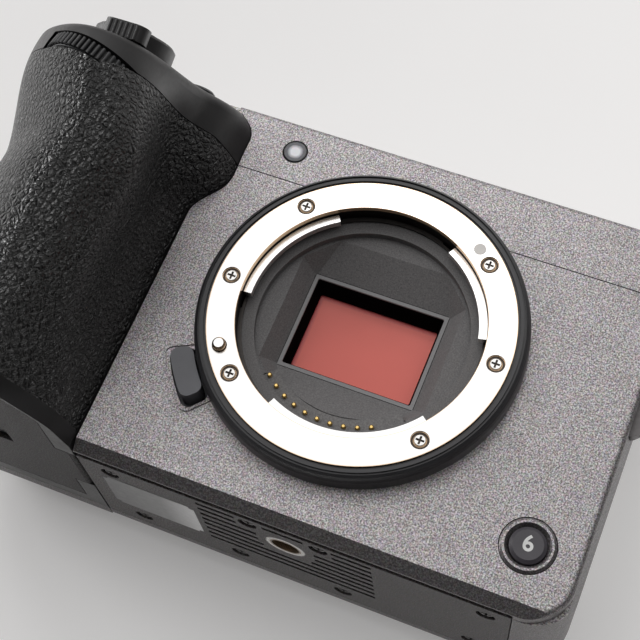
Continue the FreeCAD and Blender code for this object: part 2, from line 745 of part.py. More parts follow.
# Screws of the base, all alike
base_screws = [turned(f"base_screw_{k}", "Z", (x, y, "0.3"), [
    ("0", "0"), ("screw_head", "0"), ("screw_head", "0.8"), ("screw_shank", "0.8"), ("screw_shank", "4.2"),
    ("0", "4.2"),
]) for k, (x, y) in enumerate(BASE_SCREWS)]
finish("base_screws", fuse("base_screws", *base_screws))

# Chassis: cast frame that carries mount, sensor, boards and tripod socket
chassis_front = block("chassis_front", ("-face_left + wall + 0.2", "body_right - wall - 0.2"),
                      ("-face_front + wall + 0.1", "-face_front + wall + 2.1"),
                      ("floor_wall + 8", "top_seam - 3"))
mount_boss = rod("mount_boss", "Y", ("0", "-flange_front + mount_thick", "lens_height"), "trim_bore - 0.3",
                 "flange_front - mount_thick - face_front + wall + 1")
chassis_bars = [block(f"chassis_bar_{tag}", ("-face_left + wall + 0.2", "plate_right"), (low, high),
                      ("floor_wall", "floor_wall + 2"))
                for tag, low,
                high in (("front", "-plate_front + 0.3", "-3.4"), ("rear", "15.2", "rear_seam - 0.6"))]
chassis_spine = block("chassis_spine", ("-9", "9"), ("-plate_front + 0.3", "rear_seam - 0.6"),
                      ("floor_wall", "floor_wall + 2"))
chassis_foot = block("chassis_foot", ("-face_left + wall + 0.2", "plate_right"),
                     ("-face_front + wall + 0.1", "-face_front + wall + 2.1"),
                     ("floor_wall", "floor_wall + 9"))
chassis_middle = block("chassis_middle", ("-face_left + wall + 0.2", "body_right - wall - 9.4"),
                       ("4.6", "6.2"),
                       ("floor_wall", "top_seam - 3"))
chassis_link = block("chassis_link", ("-face_left + wall + 0.2", "-face_left + wall + 2.2"),
                     ("-face_front + wall + 0.1", "6.2"), ("floor_wall", "top_seam - 3"))
chassis_solid = fuse("chassis_solid", chassis_front, mount_boss, *chassis_bars, chassis_spine, chassis_foot,
                     chassis_middle, chassis_link)
throat_bore = rod("throat_bore", "Y", ("0", "-flange_front", "lens_height"), "sleeve_radius + 0.2",
                  "flange_front - 6")
pin_spot = ("pin_circle * cos(212)", "lens_height + pin_circle * sin(212)")
pin_bore = rod("pin_bore", "Y", (pin_spot[0], "-flange_front - 2", pin_spot[1]),
               "pin_radius + running_gap", "14")
release_well = sector("release_well", "release_inner - 0.8", "release_outer + 0.8", "-6", "-face_front",
                      *release_arc(2.4))
button_well = rod("button_well", "Y", ("front_button_right", "-face_front", "front_button_height"),
                  "bezel_radius - 0.6", "9")
socket_seat = rod("socket_seat", "Z", ("0", "0", "-1"), "socket_radius + 0.05", "12")
collar_seat = rod("collar_seat", "Z", ("0", "0", "floor_wall + 1"), "socket_collar + 0.05", "12")
middle_window = block("middle_window", ("-12", "12"), ("4", "7"), ("lens_height - 7", "lens_height + 7"))
chassis_screw_holes = [rod(f"chassis_screw_hole_{k}", "Z", (x, y, "0"), "screw_shank + 0.05", "8")
                       for k, (x, y) in enumerate(BASE_SCREWS)]
MOUNT_SCREW_ANGLES = (0, 45, 135, 180, 225, 315)
mount_screw_spots = [(f"mount_screw_circle * cos({a})", f"lens_height + mount_screw_circle * sin({a})")
                     for a in MOUNT_SCREW_ANGLES]
mount_screw_bores = [rod(f"mount_screw_bore_{k}", "Y", (x, "-flange_front", z), "mount_screw_shank + 0.05",
                         "9")
                     for k, (x, z) in enumerate(mount_screw_spots)]
finish("chassis",
       cut("chassis", chassis_solid, throat_bore, pin_bore, release_well, button_well, socket_seat,
                      collar_seat, middle_window, *chassis_screw_holes, *mount_screw_bores))

# Tripod socket, pressed into the chassis
finish("tripod_socket", turned("tripod_socket", "Z", ("0", "0", "0"), [
    ("socket_bore", "0"), ("socket_radius", "0"), ("socket_radius", "floor_wall + 1"),
    ("socket_collar", "floor_wall + 1"), ("socket_collar", "floor_wall + 2.4"),
    ("socket_radius", "floor_wall + 2.4"),
    ("socket_radius", "socket_deep + 1.5"), ("0", "socket_deep + 1.5"), ("0", "socket_deep"),
    ("socket_bore", "socket_deep"),
]))

# Lens mount: bayonet ring with three lugs
ring_blank = turned("ring_blank", "Y", MOUTH, [
    ("throat_radius", FLANGE), ("mount_radius", FLANGE), ("mount_radius", f"{FLANGE} + mount_thick"),
    ("sleeve_radius", f"{FLANGE} + mount_thick"), ("sleeve_radius", f"{FLANGE} + sleeve_deep"),
    ("throat_radius", f"{FLANGE} + sleeve_deep"),
])
LUGS = {"upper_right": (11.5, 50.5), "upper_left": (122.0, 62.0), "lower": (244.5, 77.5)}
lugs = [sector(f"lug_{spot}", "lug_radius", "throat_radius + 0.2", f"{FLANGE} + lug_step + lug_thick",
               f"{FLANGE} + lug_step", start, sweep) for spot, (start, sweep) in LUGS.items()]
ring_cuts = [rod("ring_pin_hole", "Y", (pin_spot[0], "-flange_front - 1", pin_spot[1]),
                 "pin_radius + running_gap", "6")]
for k, (x, z) in enumerate(mount_screw_spots):
    sink = turned(f"ring_sink_{k}", "Y", (x, FLANGE, z), [
        ("0", "-1"), ("mount_screw_head + 0.08", "-1"), ("mount_screw_head + 0.08", "0.35"),
        ("mount_screw_shank + 0.08", "1.25"), ("mount_screw_shank + 0.08", "5"), ("0", "5"),
    ])
    ring_cuts.append(sink)
finish("mount_ring", cut("mount_ring", fuse("ring_with_lugs", ring_blank, *lugs), *ring_cuts))
mount_screws = [turned(f"mount_screw_{k}", "Y", (x, FLANGE, z), [
    ("0", "0.2"), ("mount_screw_head", "0.2"), ("mount_screw_head", "0.38"), ("mount_screw_shank", "1.28"),
    ("mount_screw_shank", "7.5"), ("0", "7.5"),
]) for k, (x, z) in enumerate(mount_screw_spots)]
finish("mount_screws", fuse("mount_screws", *mount_screws))

# Leaf spring behind the lugs
spring_ring = turned("spring_ring", "Y", MOUTH, [
    ("spring_bore", f"{FLANGE} + sleeve_deep + 0.05"), ("sleeve_radius", f"{FLANGE} + sleeve_deep + 0.05"),
    ("sleeve_radius", f"{FLANGE} + sleeve_deep + 0.05 + spring_thick"),
    ("spring_bore", f"{FLANGE} + sleeve_deep + 0.05 + spring_thick"),
])
spring_slots = [sector(f"spring_slot_{k}", "spring_bore + 0.5", "sleeve_radius - 0.7", "-face_front + 1",
                       "-flange_front", 20 + 120 * k, 50) for k in range(3)]
finish("mount_spring", cut("mount_spring", spring_ring, *spring_slots))

# Black ring around the mount, seated on the lens face
trim_blank = turned("trim_blank", "Y", MOUTH, [
    ("trim_bore", f"{FLANGE} + mount_thick"), ("mount_radius + 0.1", f"{FLANGE} + mount_thick"),
    ("mount_radius + 0.1", f"{FLANGE} + 0.5"), ("mount_radius + 0.5", f"{FLANGE} + 0.5"),
    ("mount_radius + 0.5", f"{FLANGE} + 0.1"), ("mount_radius + 1.1", f"{FLANGE} + 0.1"),
    ("mount_radius + 1.1", f"{FLANGE} + 0.5"), ("mount_radius + 1.5", f"{FLANGE} + 0.5"),
    ("mount_radius + 1.5", f"{FLANGE} + 0.1"), ("trim_radius - 0.9", f"{FLANGE} + 0.1"),
    ("trim_radius - 0.45", f"{FLANGE} + 0.5"), ("trim_radius - 0.15", f"{FLANGE} + 1.1"),
    ("trim_radius", f"{FLANGE} + 2.0"), ("trim_radius", FACE), ("trim_spigot", FACE),
    ("trim_spigot", f"{FACE} + wall"), ("trim_bore", f"{FACE} + wall"),
])
finish("mount_trim_ring", cut("mount_trim_ring", trim_blank,
                              rod("trim_pin_hole", "Y", (pin_spot[0], "-flange_front - 1", pin_spot[1]),
                                  "pin_radius + running_gap", "12")))

# Lock pin and the button that draws it back
finish("lock_pin", turned("lock_pin", "Y", (pin_spot[0], FLANGE, pin_spot[1]), [
    ("0", "-pin_proud"), ("pin_radius - 0.35", "-pin_proud"), ("pin_radius", "-pin_proud + 0.35"),
    ("pin_radius", "9.2"), ("0", "9.2"),
]))
release_cap = soften("release_cap", sector("release_cap_sector", "release_inner", "release_outer",
                                           "-face_front + 1.4", "-face_front - release_proud",
                                           *release_arc(0)),
                     "release_round", lambda e: along_edge(e, Vector(0, 1, 0)))
release_flange = sector("release_flange", "release_inner - 0.5", "release_outer + 0.5",
                        "-face_front + wall + 0.9", "-face_front + wall + 0.15", *release_arc(1.6))
release_neck = sector("release_neck", "release_inner + 1", "release_outer - 1", "-face_front + wall + 0.5",
                      "-face_front + 1", *release_arc(-1.6))
finish("release_button", fuse("release_button", release_cap, release_neck, release_flange))

# Light trap behind the mount: stepped cylinder with an eight-sided funnel
baffle_drum = rod("baffle_drum", "Y", ("0", "-baffle_front", "lens_height"), "baffle_radius",
                  "baffle_front - baffle_rear")
baffle_mouth = rod("baffle_mouth", "Y", ("0", "-baffle_front - 1", "lens_height"), "baffle_bore",
                   "baffle_front - baffle_step + 1")


def funnel_section(half_wide, half_high, corner, y):
    """Rectangle with cut corners across the lens axis."""
    middle = size("lens_height")
    corners = []
    for side_x, side_z, wide_first in ((1, 1, False), (-1, 1, True), (-1, -1, False), (1, -1, True)):
        upright = (side_x * half_wide, side_z * (half_high - corner))
        level = (side_x * (half_wide - corner), side_z * half_high)
        corners += [level, upright] if wide_first else [upright, level]
    points = [Vector(x, y, middle + z) for x, z in corners]
    return Part.makePolygon(points + points[:1])


funnel = doc.addObject("Part::Feature", "funnel")
funnel.Shape = Part.makeLoft([
    funnel_section(size("funnel_half_wide"), size("funnel_half_high"), size("funnel_corner"),
                   -size("baffle_step") - 0.01),
    funnel_section(size("window_half_wide") + 0.1, size("window_half_high") + 0.1, 0.3,
                   -size("baffle_rear") + 0.01),
], True, True)
funnel.Placement = FreeCAD.Placement()
contact_seat = sector("contact_seat", "contact_inner - 0.1", "baffle_bore", "-baffle_rear - 1",
                      "-baffle_front - 1", 225, 90)
finish("throat_baffle", cut("throat_baffle", baffle_drum, baffle_mouth, funnel, contact_seat))

# Contact block with its ten sprung pins
contact_base = sector("contact_base", "contact_inner", "contact_outer", "-baffle_rear - 1.1",
                      "-contact_front + 0.2", 225.5, 89)
contact_spots = [(f"contact_circle * cos(227.3 + {k} * contact_pitch)",
                  f"lens_height + contact_circle * sin(227.3 + {k} * contact_pitch)") for k in range(10)]
contact_holes = [rod(f"contact_hole_{k}", "Y", (x, "-contact_front - 1", z), "contact_radius + 0.02",
                     "contact_front - baffle_rear - 0.4") for k, (x, z) in enumerate(contact_spots)]
finish("contact_block", cut("contact_block", contact_base, *contact_holes))
pin_foot = "contact_front - baffle_rear - 1.5"
contact_pins = [turned(f"contact_pin_{k}", "Y", (x, "-contact_front", z), [
    ("0", "-0.45"), ("contact_radius - 0.2", "-0.45"), ("contact_radius", "-0.2"),
    ("contact_radius", pin_foot), ("0", pin_foot),
]) for k, (x, z) in enumerate(contact_spots)]
finish("contact_pins", fuse("contact_pins", *contact_pins))

# Window frame around the sensor
window_block = block("window_block", ("-window_half_wide", "window_half_wide"),
                     ("-baffle_rear", "-baffle_rear + window_deep"),
                     ("lens_height - window_half_high", "lens_height + window_half_high"))
window_funnel = doc.addObject("Part::Feature", "window_funnel")
window_funnel.Shape = Part.makeLoft([
    funnel_section(size("window_half_wide") - size("window_rim"),
                   size("window_half_high") - size("window_rim"),
                   0.2, -size("baffle_rear") - 0.01),
    funnel_section(size("filter_half_wide"), size("filter_half_high"), 0.2,
                   -size("baffle_rear") + size("window_deep") + 0.01),
], True, True)
window_funnel.Placement = FreeCAD.Placement()
finish("window_frame", cut("window_frame", window_block, window_funnel))

# Sensor on its shifting carriage
finish("sensor_filter", block("sensor_filter", ("-filter_half_wide - 0.9", "filter_half_wide + 0.9"),
                              ("-filter_front", "-filter_front + filter_thick"),
                              ("lens_height - filter_half_high - 0.9",
                               "lens_height + filter_half_high + 0.9")))
finish("image_sensor",
       block("image_sensor", ("-filter_half_wide - 1.6", "filter_half_wide + 1.6"), ("-0.6", "1.2"),
                             ("lens_height - filter_half_high - 1.6",
                              "lens_height + filter_half_high + 1.6")))
carriage_blank = block("carriage_blank", ("-carriage_half_wide", "carriage_half_wide"),
                       ("-filter_front", "-filter_front + carriage_thick"),
                       ("lens_height - carriage_half_high", "lens_height + carriage_half_high"))
carriage_back = block("carriage_back", ("-carriage_half_wide + 4", "carriage_half_wide - 4"),
                      ("-filter_front + carriage_thick - 0.1", "1.2"),
                      ("lens_height - carriage_half_high + 3", "lens_height + carriage_half_high - 3"))
carriage_filter_seat = block("carriage_filter_seat",
                             ("-filter_half_wide - 0.95", "filter_half_wide + 0.95"),
                             ("-9", "-filter_front + filter_thick + 0.1"),
                             ("lens_height - filter_half_high - 0.95",
                              "lens_height + filter_half_high + 0.95"))
carriage_window = block("carriage_window", ("-filter_half_wide", "filter_half_wide"), ("-9", "9"),
                        ("lens_height - filter_half_high", "lens_height + filter_half_high"))
carriage_sensor_seat = block("carriage_sensor_seat",
                             ("-filter_half_wide - 1.65", "filter_half_wide + 1.65"), ("-0.6", "9"),
                             ("lens_height - filter_half_high - 1.65",
                              "lens_height + filter_half_high + 1.65"))
finish("sensor_carriage", cut("sensor_carriage", fuse("carriage_solid", carriage_blank, carriage_back),
                              carriage_filter_seat, carriage_window, carriage_sensor_seat))
guide_blank = block("guide_blank", ("-guide_half_wide", "guide_half_wide"), ("1.5", "3.7"),
                    ("lens_height - guide_half_high", "lens_height + guide_half_high"))
guide_window = block("guide_window", ("-guide_half_wide + 7", "guide_half_wide - 7"), ("0", "9"),
                     ("lens_height - guide_half_high + 6", "lens_height + guide_half_high - 6"))
finish("sensor_guide", cut("sensor_guide", guide_blank, guide_window))

# Lamp beside the mount, in the top cover's skirt
finish("lamp_lens", turned("lamp_lens", "Y", ("-lamp_left", FACE, "lamp_height"), [
    ("0", "-0.1"), ("lamp_radius - 0.3", "-0.1"), ("lamp_radius", "0.1"), ("lamp_radius", "wall"),
    ("0", "wall"),
]))

# Front button in its bezel
finish("button_bezel", turned("button_bezel", "Y", ("front_button_right", FACE, "front_button_height"), [
    ("front_button_radius + running_gap", "0.5"), ("bezel_radius - 0.9", "-0.35"),
    ("bezel_radius - 0.5", "-0.35"),
    ("bezel_radius", "0.1"), ("bezel_radius", "wall"), ("front_button_radius + running_gap", "wall"),
]))
finish("front_button", turned("front_button", "Y", ("front_button_right", FACE, "front_button_height"), [
    ("0", "-0.55"), ("front_button_radius - 0.6", "-0.6"), ("front_button_radius", "-0.15"),
    ("front_button_radius", "wall + 0.15"), ("front_button_radius + 0.8", "wall + 0.15"),
    ("front_button_radius + 0.8", "wall + 0.7"), ("1.2", "wall + 0.7"), ("1.2", "wall + 1.4"),
    ("0", "wall + 1.4"),
]))

# Grip: leather skin, core with the bays, and the smooth shoulder above
BROW_LOW = "(top_seam - seam - brow_rise * (62 - brow_start))"
below_brow = plate("below_brow", "X", [
    ("-62", "-1"), ("30", "-1"), ("30", "top_seam - seam"), ("-brow_start", "top_seam - seam"),
    ("-62", BROW_LOW),
], "-90", "-30")
skin_shell = cut("skin_shell", grip_outside, grip_skin_back)
skin_zone = block("skin_zone", ("-90", "-30"), ("-62", "-leather_rear"), ("leather_low", "body_height"))
skin_rear_cut = block("skin_rear_cut", ("-face_left - 12", "-30"), ("-face_front - seam", FAR),
                      ("-1", "body_height"))
DIAL_AT = ("-dial_left", "-dial_front", "dial_height")
dial_slot = turned("dial_slot", "Z", DIAL_AT, [
    ("0", "-dial_thick / 2 - dial_room"), ("dial_radius + dial_room", "-dial_thick / 2 - dial_room"),
    ("dial_radius + dial_room", "dial_thick / 2 + dial_room"), ("0", "dial_thick / 2 + dial_room"),
], "dial_tilt", TILT_SIDEWAYS)
grip_skin = cut("grip_skin",
                common("skin_above_foot", common("skin_below_brow", skin_shell, below_brow), skin_zone),
                skin_rear_cut, dial_slot)
finish("grip_leather", grip_skin)

core_zone = fuse("core_zone",
                 block("core_main_zone", ("-90", "-face_left - 0.1"), ("-62", "rear_seam"),
                       ("0", "top_seam - seam")),
                 block("core_nose_zone", ("-face_left - 1", "-30"), ("-62", "-face_front + wall - seam"),
                       ("crest_height", "top_seam - seam")))
core_solid = common("core_solid", common("core_below_brow", grip_outside, below_brow), core_zone)
battery_box = (("-battery_right - battery_wide", "-battery_right"),
               ("battery_rear - battery_deep", "battery_rear"),
               ("door_thick + 0.3", "door_thick + 0.3 + battery_high"))
battery_bay = block("battery_bay",
                    *[(f"{low} - bay_gap", f"{high} + bay_gap") for low, high in battery_box[:2]],
                    ("-1", "door_thick + 0.6 + battery_high"))
door_form = grip_form("door_form", size("door_margin"))
DOOR_FIT = "seam"
door_zone = block("door_zone", ("-90", "-door_right"), ("-62", "door_rear"), ("0", "door_thick"))
door_pocket_form = grip_form("door_pocket_form", size("door_margin") - size("seam"))
door_pocket_zone = block("door_pocket_zone", ("-90", f"-door_right + {DOOR_FIT}"),
                         ("-62", f"door_rear + {DOOR_FIT}"),
                         ("-1", "door_thick + 0.25"))
door_pocket = common("door_pocket", door_pocket_form, door_pocket_zone)
hinge_gap = rod("door_hinge_gap", "Y", ("-door_hinge", "-door_tab_half - 0.2", "door_hinge_high"),
                "knuckle_radius + 0.35",
                "2 * door_tab_half + 0.4")
hinge_gap_low = block("door_hinge_gap_low", ("-door_right", "-30"),
                      ("-door_tab_half - 0.2", "door_tab_half + 0.2"),
                      ("-1", "door_hinge_high + 0.3"))
door_pin_bore = rod("door_pin_bore", "Y", ("-door_hinge", "-door_tab_half - 3.1", "door_hinge_high"),
                    "hinge_pin + 0.02",
                    "2 * door_tab_half + 6.2")
keeper_notch = block("keeper_notch", ("-90", "-door_right - 24"),
                     ("-latch_front - 3.6", "-latch_front + 3.6"),
                     ("-1", "door_thick + 1.6"))
keeper = common("keeper", grip_form("keeper_form", size("leather") + 0.6), keeper_notch)
CARD_BAY = (("-palm_side - 1", "-44.2"), ("15.6", "rear_seam + 2"), ("card_door_low + 2", "49.5"))
card_bay = block("card_bay", *CARD_BAY)
card_leaf_zone = block("card_leaf_zone", (-FAR, "-palm_side + card_door_thick + 0.25"),
                       ("-card_door_front - 0.25", "rear_seam + 1"),
                       ("card_door_low - 0.3", "card_door_high + 0.3"))
card_knuckle_room = rod("card_knuckle_room", "Z",
                        ("-palm_side + 1.7", "card_door_rear", "card_door_low - 0.3"), "2.0",
                        "card_door_high - card_door_low + 0.6")
card_pin_bore = rod("card_pin_bore", "Z", ("-palm_side + 1.7", "card_door_rear", "card_door_low - 3.1"),
                    "hinge_pin + 0.02",
                    "card_door_high - card_door_low + 6.2")
front_pocket = block("front_pocket", ("-66", "-50"), ("-40", "-26"), ("6", "46"))
rear_dial_axle = rod("rear_dial_axle", "Z",
                     ("-rear_dial_left", "rear_depth - 4.4", "rear_dial_height - 3.2"), "dial_axle", "6.4")
core_hollow = cut("core_hollow", core_solid, grip_skin, battery_bay, door_pocket, hinge_gap, hinge_gap_low,
                  door_pin_bore, keeper, card_bay, card_leaf_zone, card_knuckle_room, card_pin_bore,
                  dial_slot,
                  rear_dial_hole, front_pocket)
finish("grip_core", fuse("grip_core", core_hollow, rear_dial_axle))

# Smooth shoulder that carries the shutter button and the dial
shoulder_region = plate("shoulder_region", "X", [
    ("-62", f"{BROW_LOW} + seam"), ("-brow_start", "top_seam"), ("-slope_start - seam", "top_seam"),
    ("-slope_start - seam", slope_at("slope_start + seam")), ("-62", slope_at("62")),
], "-90", "-30")
corner_notch = block("corner_notch", ("-corner_left - seam", "-30"), ("-corner_front - seam", FAR),
                     ("top_seam - 1", "body_height + 1"))
shoulder_blank = cut("shoulder_blank", common("shoulder_whole", grip_outside, shoulder_region),
                     corner_notch)


def on_shoulder_rim(edge):
    """Edges of the sloping top, apart from the one against the top cover."""
    box = edge.BoundBox
    rise = size("body_height") - size("slope_step") + size("slope_drop") * size("slope_start")
    ends = [vertex.Point for vertex in edge.Vertexes]
    on_slope = all(abs(p.z - rise - size("slope_drop") * p.y) < 0.02 for p in ends)
    return on_slope and box.YLength > 0.5


shoulder_round = soften("shoulder_round", shoulder_blank, "shoulder_round", on_shoulder_rim)
shoulder_room = common("shoulder_room", grip_inside, plate("shoulder_room_region", "X", [
    ("-50", "top_seam - 8.4"), ("-slope_start - 2", "top_seam - 1"),
    ("-slope_start - 2", f"{slope_at('slope_start + 2')} - wall"), ("-50", f"{slope_at('50')} - wall"),
], "-76", "-42"))
SHUTTER = ("-shutter_left", "-shutter_front", slope_at("shutter_front"))
CUSTOM = ("-custom_left", "-custom_front", slope_at("custom_front"))
SLOPE_TILT = "atan(slope_drop)"
shutter_hole = turned("shutter_hole", "Z", SHUTTER, [("0", "-6"), ("3.2", "-6"), ("3.2", "2"), ("0", "2")],
                      SLOPE_TILT)
custom_hole = turned("custom_hole", "Z", CUSTOM, [
    ("0", "-6"), ("custom_radius + running_gap", "-6"), ("custom_radius + running_gap", "2"), ("0", "2"),
], SLOPE_TILT)
dial_axle = turned("dial_axle_post", "Z", DIAL_AT, [
    ("0", "-dial_thick / 2"), ("dial_axle", "-dial_thick / 2"), ("dial_axle", "8"), ("0", "8"),
], "dial_tilt", TILT_SIDEWAYS)
shoulder_hollow = cut("shoulder_hollow", shoulder_round, shoulder_room, shutter_hole, custom_hole,
                      dial_slot)
axle_in_shoulder = common("axle_in_shoulder", dial_axle, plate("axle_zone", "X", [
    ("-62", "40"), ("-slope_start", "40"), ("-slope_start", f"{slope_at('slope_start')} - 1"),
    ("-62", f"{slope_at('62')} - 1"),
], "-90", "-30"))
finish("grip_shoulder", fuse("grip_shoulder", shoulder_hollow, axle_in_shoulder))

# Battery, its door, pin and latch
battery_blank = block("battery_blank", *battery_box)
finish("battery", soften("battery", battery_blank, "edge_round", lambda e: along_edge(e, Vector(0, 0, 1))))
door_leaf = common("door_leaf", door_form, door_zone)
door_tab = block("door_tab", ("-door_right - 1", "-door_hinge"), ("-door_tab_half", "door_tab_half"),
                 ("0", "door_hinge_high"))
door_knuckle = rod("door_knuckle", "Y", ("-door_hinge", "-door_tab_half", "door_hinge_high"),
                   "knuckle_radius",
                   "2 * door_tab_half")
latch_slot = block("latch_slot", ("-latch_left - 4.6", "-latch_left + 4.6"),
                   ("-latch_front - 3.2", "-latch_front + 3.2"),
                   ("-1", "door_thick + 1"))
door_bore = rod("door_bore", "Y", ("-door_hinge", "-door_tab_half - 1", "door_hinge_high"),
                "hinge_pin + 0.05",
                "2 * door_tab_half + 2")
finish("battery_door",
       cut("battery_door", fuse("door_solid", door_leaf, door_tab, door_knuckle), latch_slot, door_bore,
                           block("latch_track", ("-door_right - 30.5", "-door_right - 5.5"),
                                 ("-latch_front - 3.5", "-latch_front + 3.5"),
                                 ("door_thick - 0.85", "door_thick + 1"))))
battery_door_pin = rod("battery_door_pin", "Y", ("-door_hinge", "-door_tab_half - 3", "door_hinge_high"),
                       "hinge_pin", "2 * door_tab_half + 6")
latch_knob = block("latch_knob", ("-latch_left - 4.3", "-latch_left + 1"),
                   ("-latch_front - 2.9", "-latch_front + 2.9"),
                   ("0.2", "door_thick - 0.7"))
latch_plate = block("latch_plate", ("-door_right - 30", "-latch_left + 5.5"),
                    ("-latch_front - 3.3", "-latch_front + 3.3"),
                    ("door_thick - 0.75", "door_thick - 0.05"))
finish("battery_latch", fuse("battery_latch", latch_knob, latch_plate))

# Card door on the grip's side, its pin, and the card holder behind it
card_leaf = common("card_leaf", grip_outside, block("card_leaf_box", (-FAR, "-palm_side + card_door_thick"),
                                                    ("-card_door_front", "card_door_rear"),
                                                    ("card_door_low", "card_door_high")))
card_knuckle = rod("card_knuckle", "Z", ("-palm_side + 1.7", "card_door_rear", "card_door_low"),
                   "card_knuckle",
                   "card_door_high - card_door_low")
card_bore = rod("card_bore", "Z", ("-palm_side + 1.7", "card_door_rear", "card_door_low - 1"),
                "hinge_pin + 0.05",
                "card_door_high - card_door_low + 2")
finish("card_door", cut("card_door", fuse("card_door_solid", card_leaf, card_knuckle), card_bore))
card_door_pin = rod("card_door_pin", "Z", ("-palm_side + 1.7", "card_door_rear", "card_door_low - 3"),
                    "hinge_pin", "card_door_high - card_door_low + 6")
finish("door_pins", fuse("door_pins", battery_door_pin, card_door_pin))
holder_blank = block("holder_blank", ("-palm_side + 5.2", "-45"), ("15.8", "rear_seam + 1.6"),
                     ("card_door_low + 2.3", "49.2"))
card_slots = [block(f"card_slot_{k}", (-FAR, "-48"), (f"{y} - 1.3", f"{y} + 1.3"),
                    ("card_door_low + 5", "46"))
              for k, y in enumerate((17.8, 21.6))]
finish("card_holder", cut("card_holder", holder_blank, *card_slots))

# Front dial: ribbed wheel on the shoulder's axle
finish("front_dial", turned("front_dial", "Z", DIAL_AT, [
    ("dial_axle + 0.06", "-dial_thick / 2"), ("dial_radius - 0.4", "-dial_thick / 2"),
    ("dial_radius", "-dial_thick / 2 + 0.4"),
    ("dial_radius", "dial_thick / 2 - 0.4"), ("dial_radius - 0.4", "dial_thick / 2"),
    ("dial_axle + 0.06", "dial_thick / 2"),
], "dial_tilt", TILT_SIDEWAYS))

# Zoom lever around the shutter button
zoom_ring = turned("zoom_ring", "Z", SHUTTER, [
    ("shutter_radius + 0.2", "0.3"), ("zoom_radius", "0.3"), ("zoom_radius", "zoom_high - 0.5"),
    ("zoom_radius - 0.5", "zoom_high"), ("shutter_radius + 0.2", "zoom_high"),
], SLOPE_TILT)
zoom_tab_box = doc.addObject("Part::Box", "zoom_tab_box")
zoom_tab_box.Placement = FreeCAD.Placement(Vector(), Rotation(Vector(1, 0, 0), 1))
bind(zoom_tab_box, "Placement.Rotation.Angle", SLOPE_TILT)
bind(zoom_tab_box, "Length", "zoom_tab_wide")
bind(zoom_tab_box, "Width", "zoom_tab_reach - shutter_radius - 0.6")
bind(zoom_tab_box, "Height", "zoom_high - 0.7")
SLOPE_COS = "cos(atan(slope_drop))"
SLOPE_SIN = "sin(atan(slope_drop))"
place(zoom_tab_box, "-shutter_left - zoom_tab_wide / 2 + zoom_tab_side",
      f"-shutter_front - zoom_tab_reach * {SLOPE_COS} - 0.6 * {SLOPE_SIN}",
      f"{SHUTTER[2]} - zoom_tab_reach * {SLOPE_SIN} + 0.6 * {SLOPE_COS}")
zoom_tab = soften("zoom_tab", zoom_tab_box, "zoom_tab_round",
                  lambda e: abs(e.Length - size("zoom_high") + 0.7) < 0.01)
finish("zoom_lever", fuse("zoom_lever", zoom_ring, zoom_tab))
finish("shutter_button", turned("shutter_button", "Z", SHUTTER, [
    ("0", "-3.2"), ("3.05", "-3.2"), ("3.05", "1.6"), ("shutter_radius", "1.6"),
    ("shutter_radius", "zoom_high + 0.2"),
    ("shutter_radius - 0.7", "zoom_high + 0.8"), ("2.6", "zoom_high + 0.6"), ("0", "zoom_high + 0.5"),
], SLOPE_TILT))
finish("custom_button", turned("custom_button", "Z", CUSTOM, [
    ("0", "-wall - 0.9"), ("custom_radius + 0.7", "-wall - 0.9"), ("custom_radius + 0.7", "-wall - 0.25"),
    ("custom_radius", "-wall - 0.25"), ("custom_radius", "0.5"), ("custom_radius - 0.5", "0.9"),
    ("0", "1.0"),
], SLOPE_TILT))

# Record button and power switch on the roof
ROOF = "body_height"
finish("record_button", turned("record_button", "Z", ("-record_left", "record_back", ROOF), [
    ("0", "-wall - 0.9"), ("record_radius + 0.7", "-wall - 0.9"), ("record_radius + 0.7", "-wall - 0.2"),
    ("record_radius", "-wall - 0.2"), ("record_radius", "0.3"), ("record_radius - 0.6", "0.8"),
    ("0", "0.5"),
]))
power_disc = turned("power_disc", "Z", ("-power_left", "power_back", ROOF), [
    ("0", "-wall - 0.9"), ("2.4", "-wall - 0.9"), ("2.4", "-wall - 0.2"), ("1.45", "-wall - 0.2"),
    ("1.45", "0.15"),
    ("power_radius", "0.15"), ("power_radius", "1.8"), ("power_radius - 0.5", "2.3"), ("0", "2.3"),
])
power_lever = block("power_lever", ("-power_left - 1.5", "-power_left + 1.5"),
                    ("power_back - power_radius - 3.2", "power_back"), (f"{ROOF} + 0.15", f"{ROOF} + 1.9"))
finish("power_switch", fuse("power_switch", power_disc, power_lever))

# Accessory shoe: base and two rails
shoe_base = block("shoe_base", ("-shoe_inner / 2 - 1.9", "shoe_inner / 2 + 1.9"),
                  ("shoe_middle - shoe_long / 2 + 0.1", "shoe_middle + shoe_long / 2 - 0.1"),
                  ("body_height - 1.2", "body_height + shoe_high + 1.3"))
shoe_slide = block("shoe_slide", ("-shoe_inner / 2", "shoe_inner / 2"),
                   ("shoe_middle - shoe_long / 2 + 2", FAR),
                   ("body_height", "body_height + shoe_high"))
shoe_throat = block("shoe_throat", ("-shoe_gap / 2", "shoe_gap / 2"),
                    ("shoe_middle - shoe_long / 2 + 2", FAR),
                    ("body_height", "body_height + shoe_high + 2"))
shoe_front = block("shoe_front", ("-shoe_gap / 2", "shoe_gap / 2"),
                   (-FAR, "shoe_middle - shoe_long / 2 + 2.5"),
                   ("body_height + 0.9", "body_height + shoe_high + 2"))
finish("accessory_shoe", cut("accessory_shoe", shoe_base, shoe_slide, shoe_throat, shoe_front))

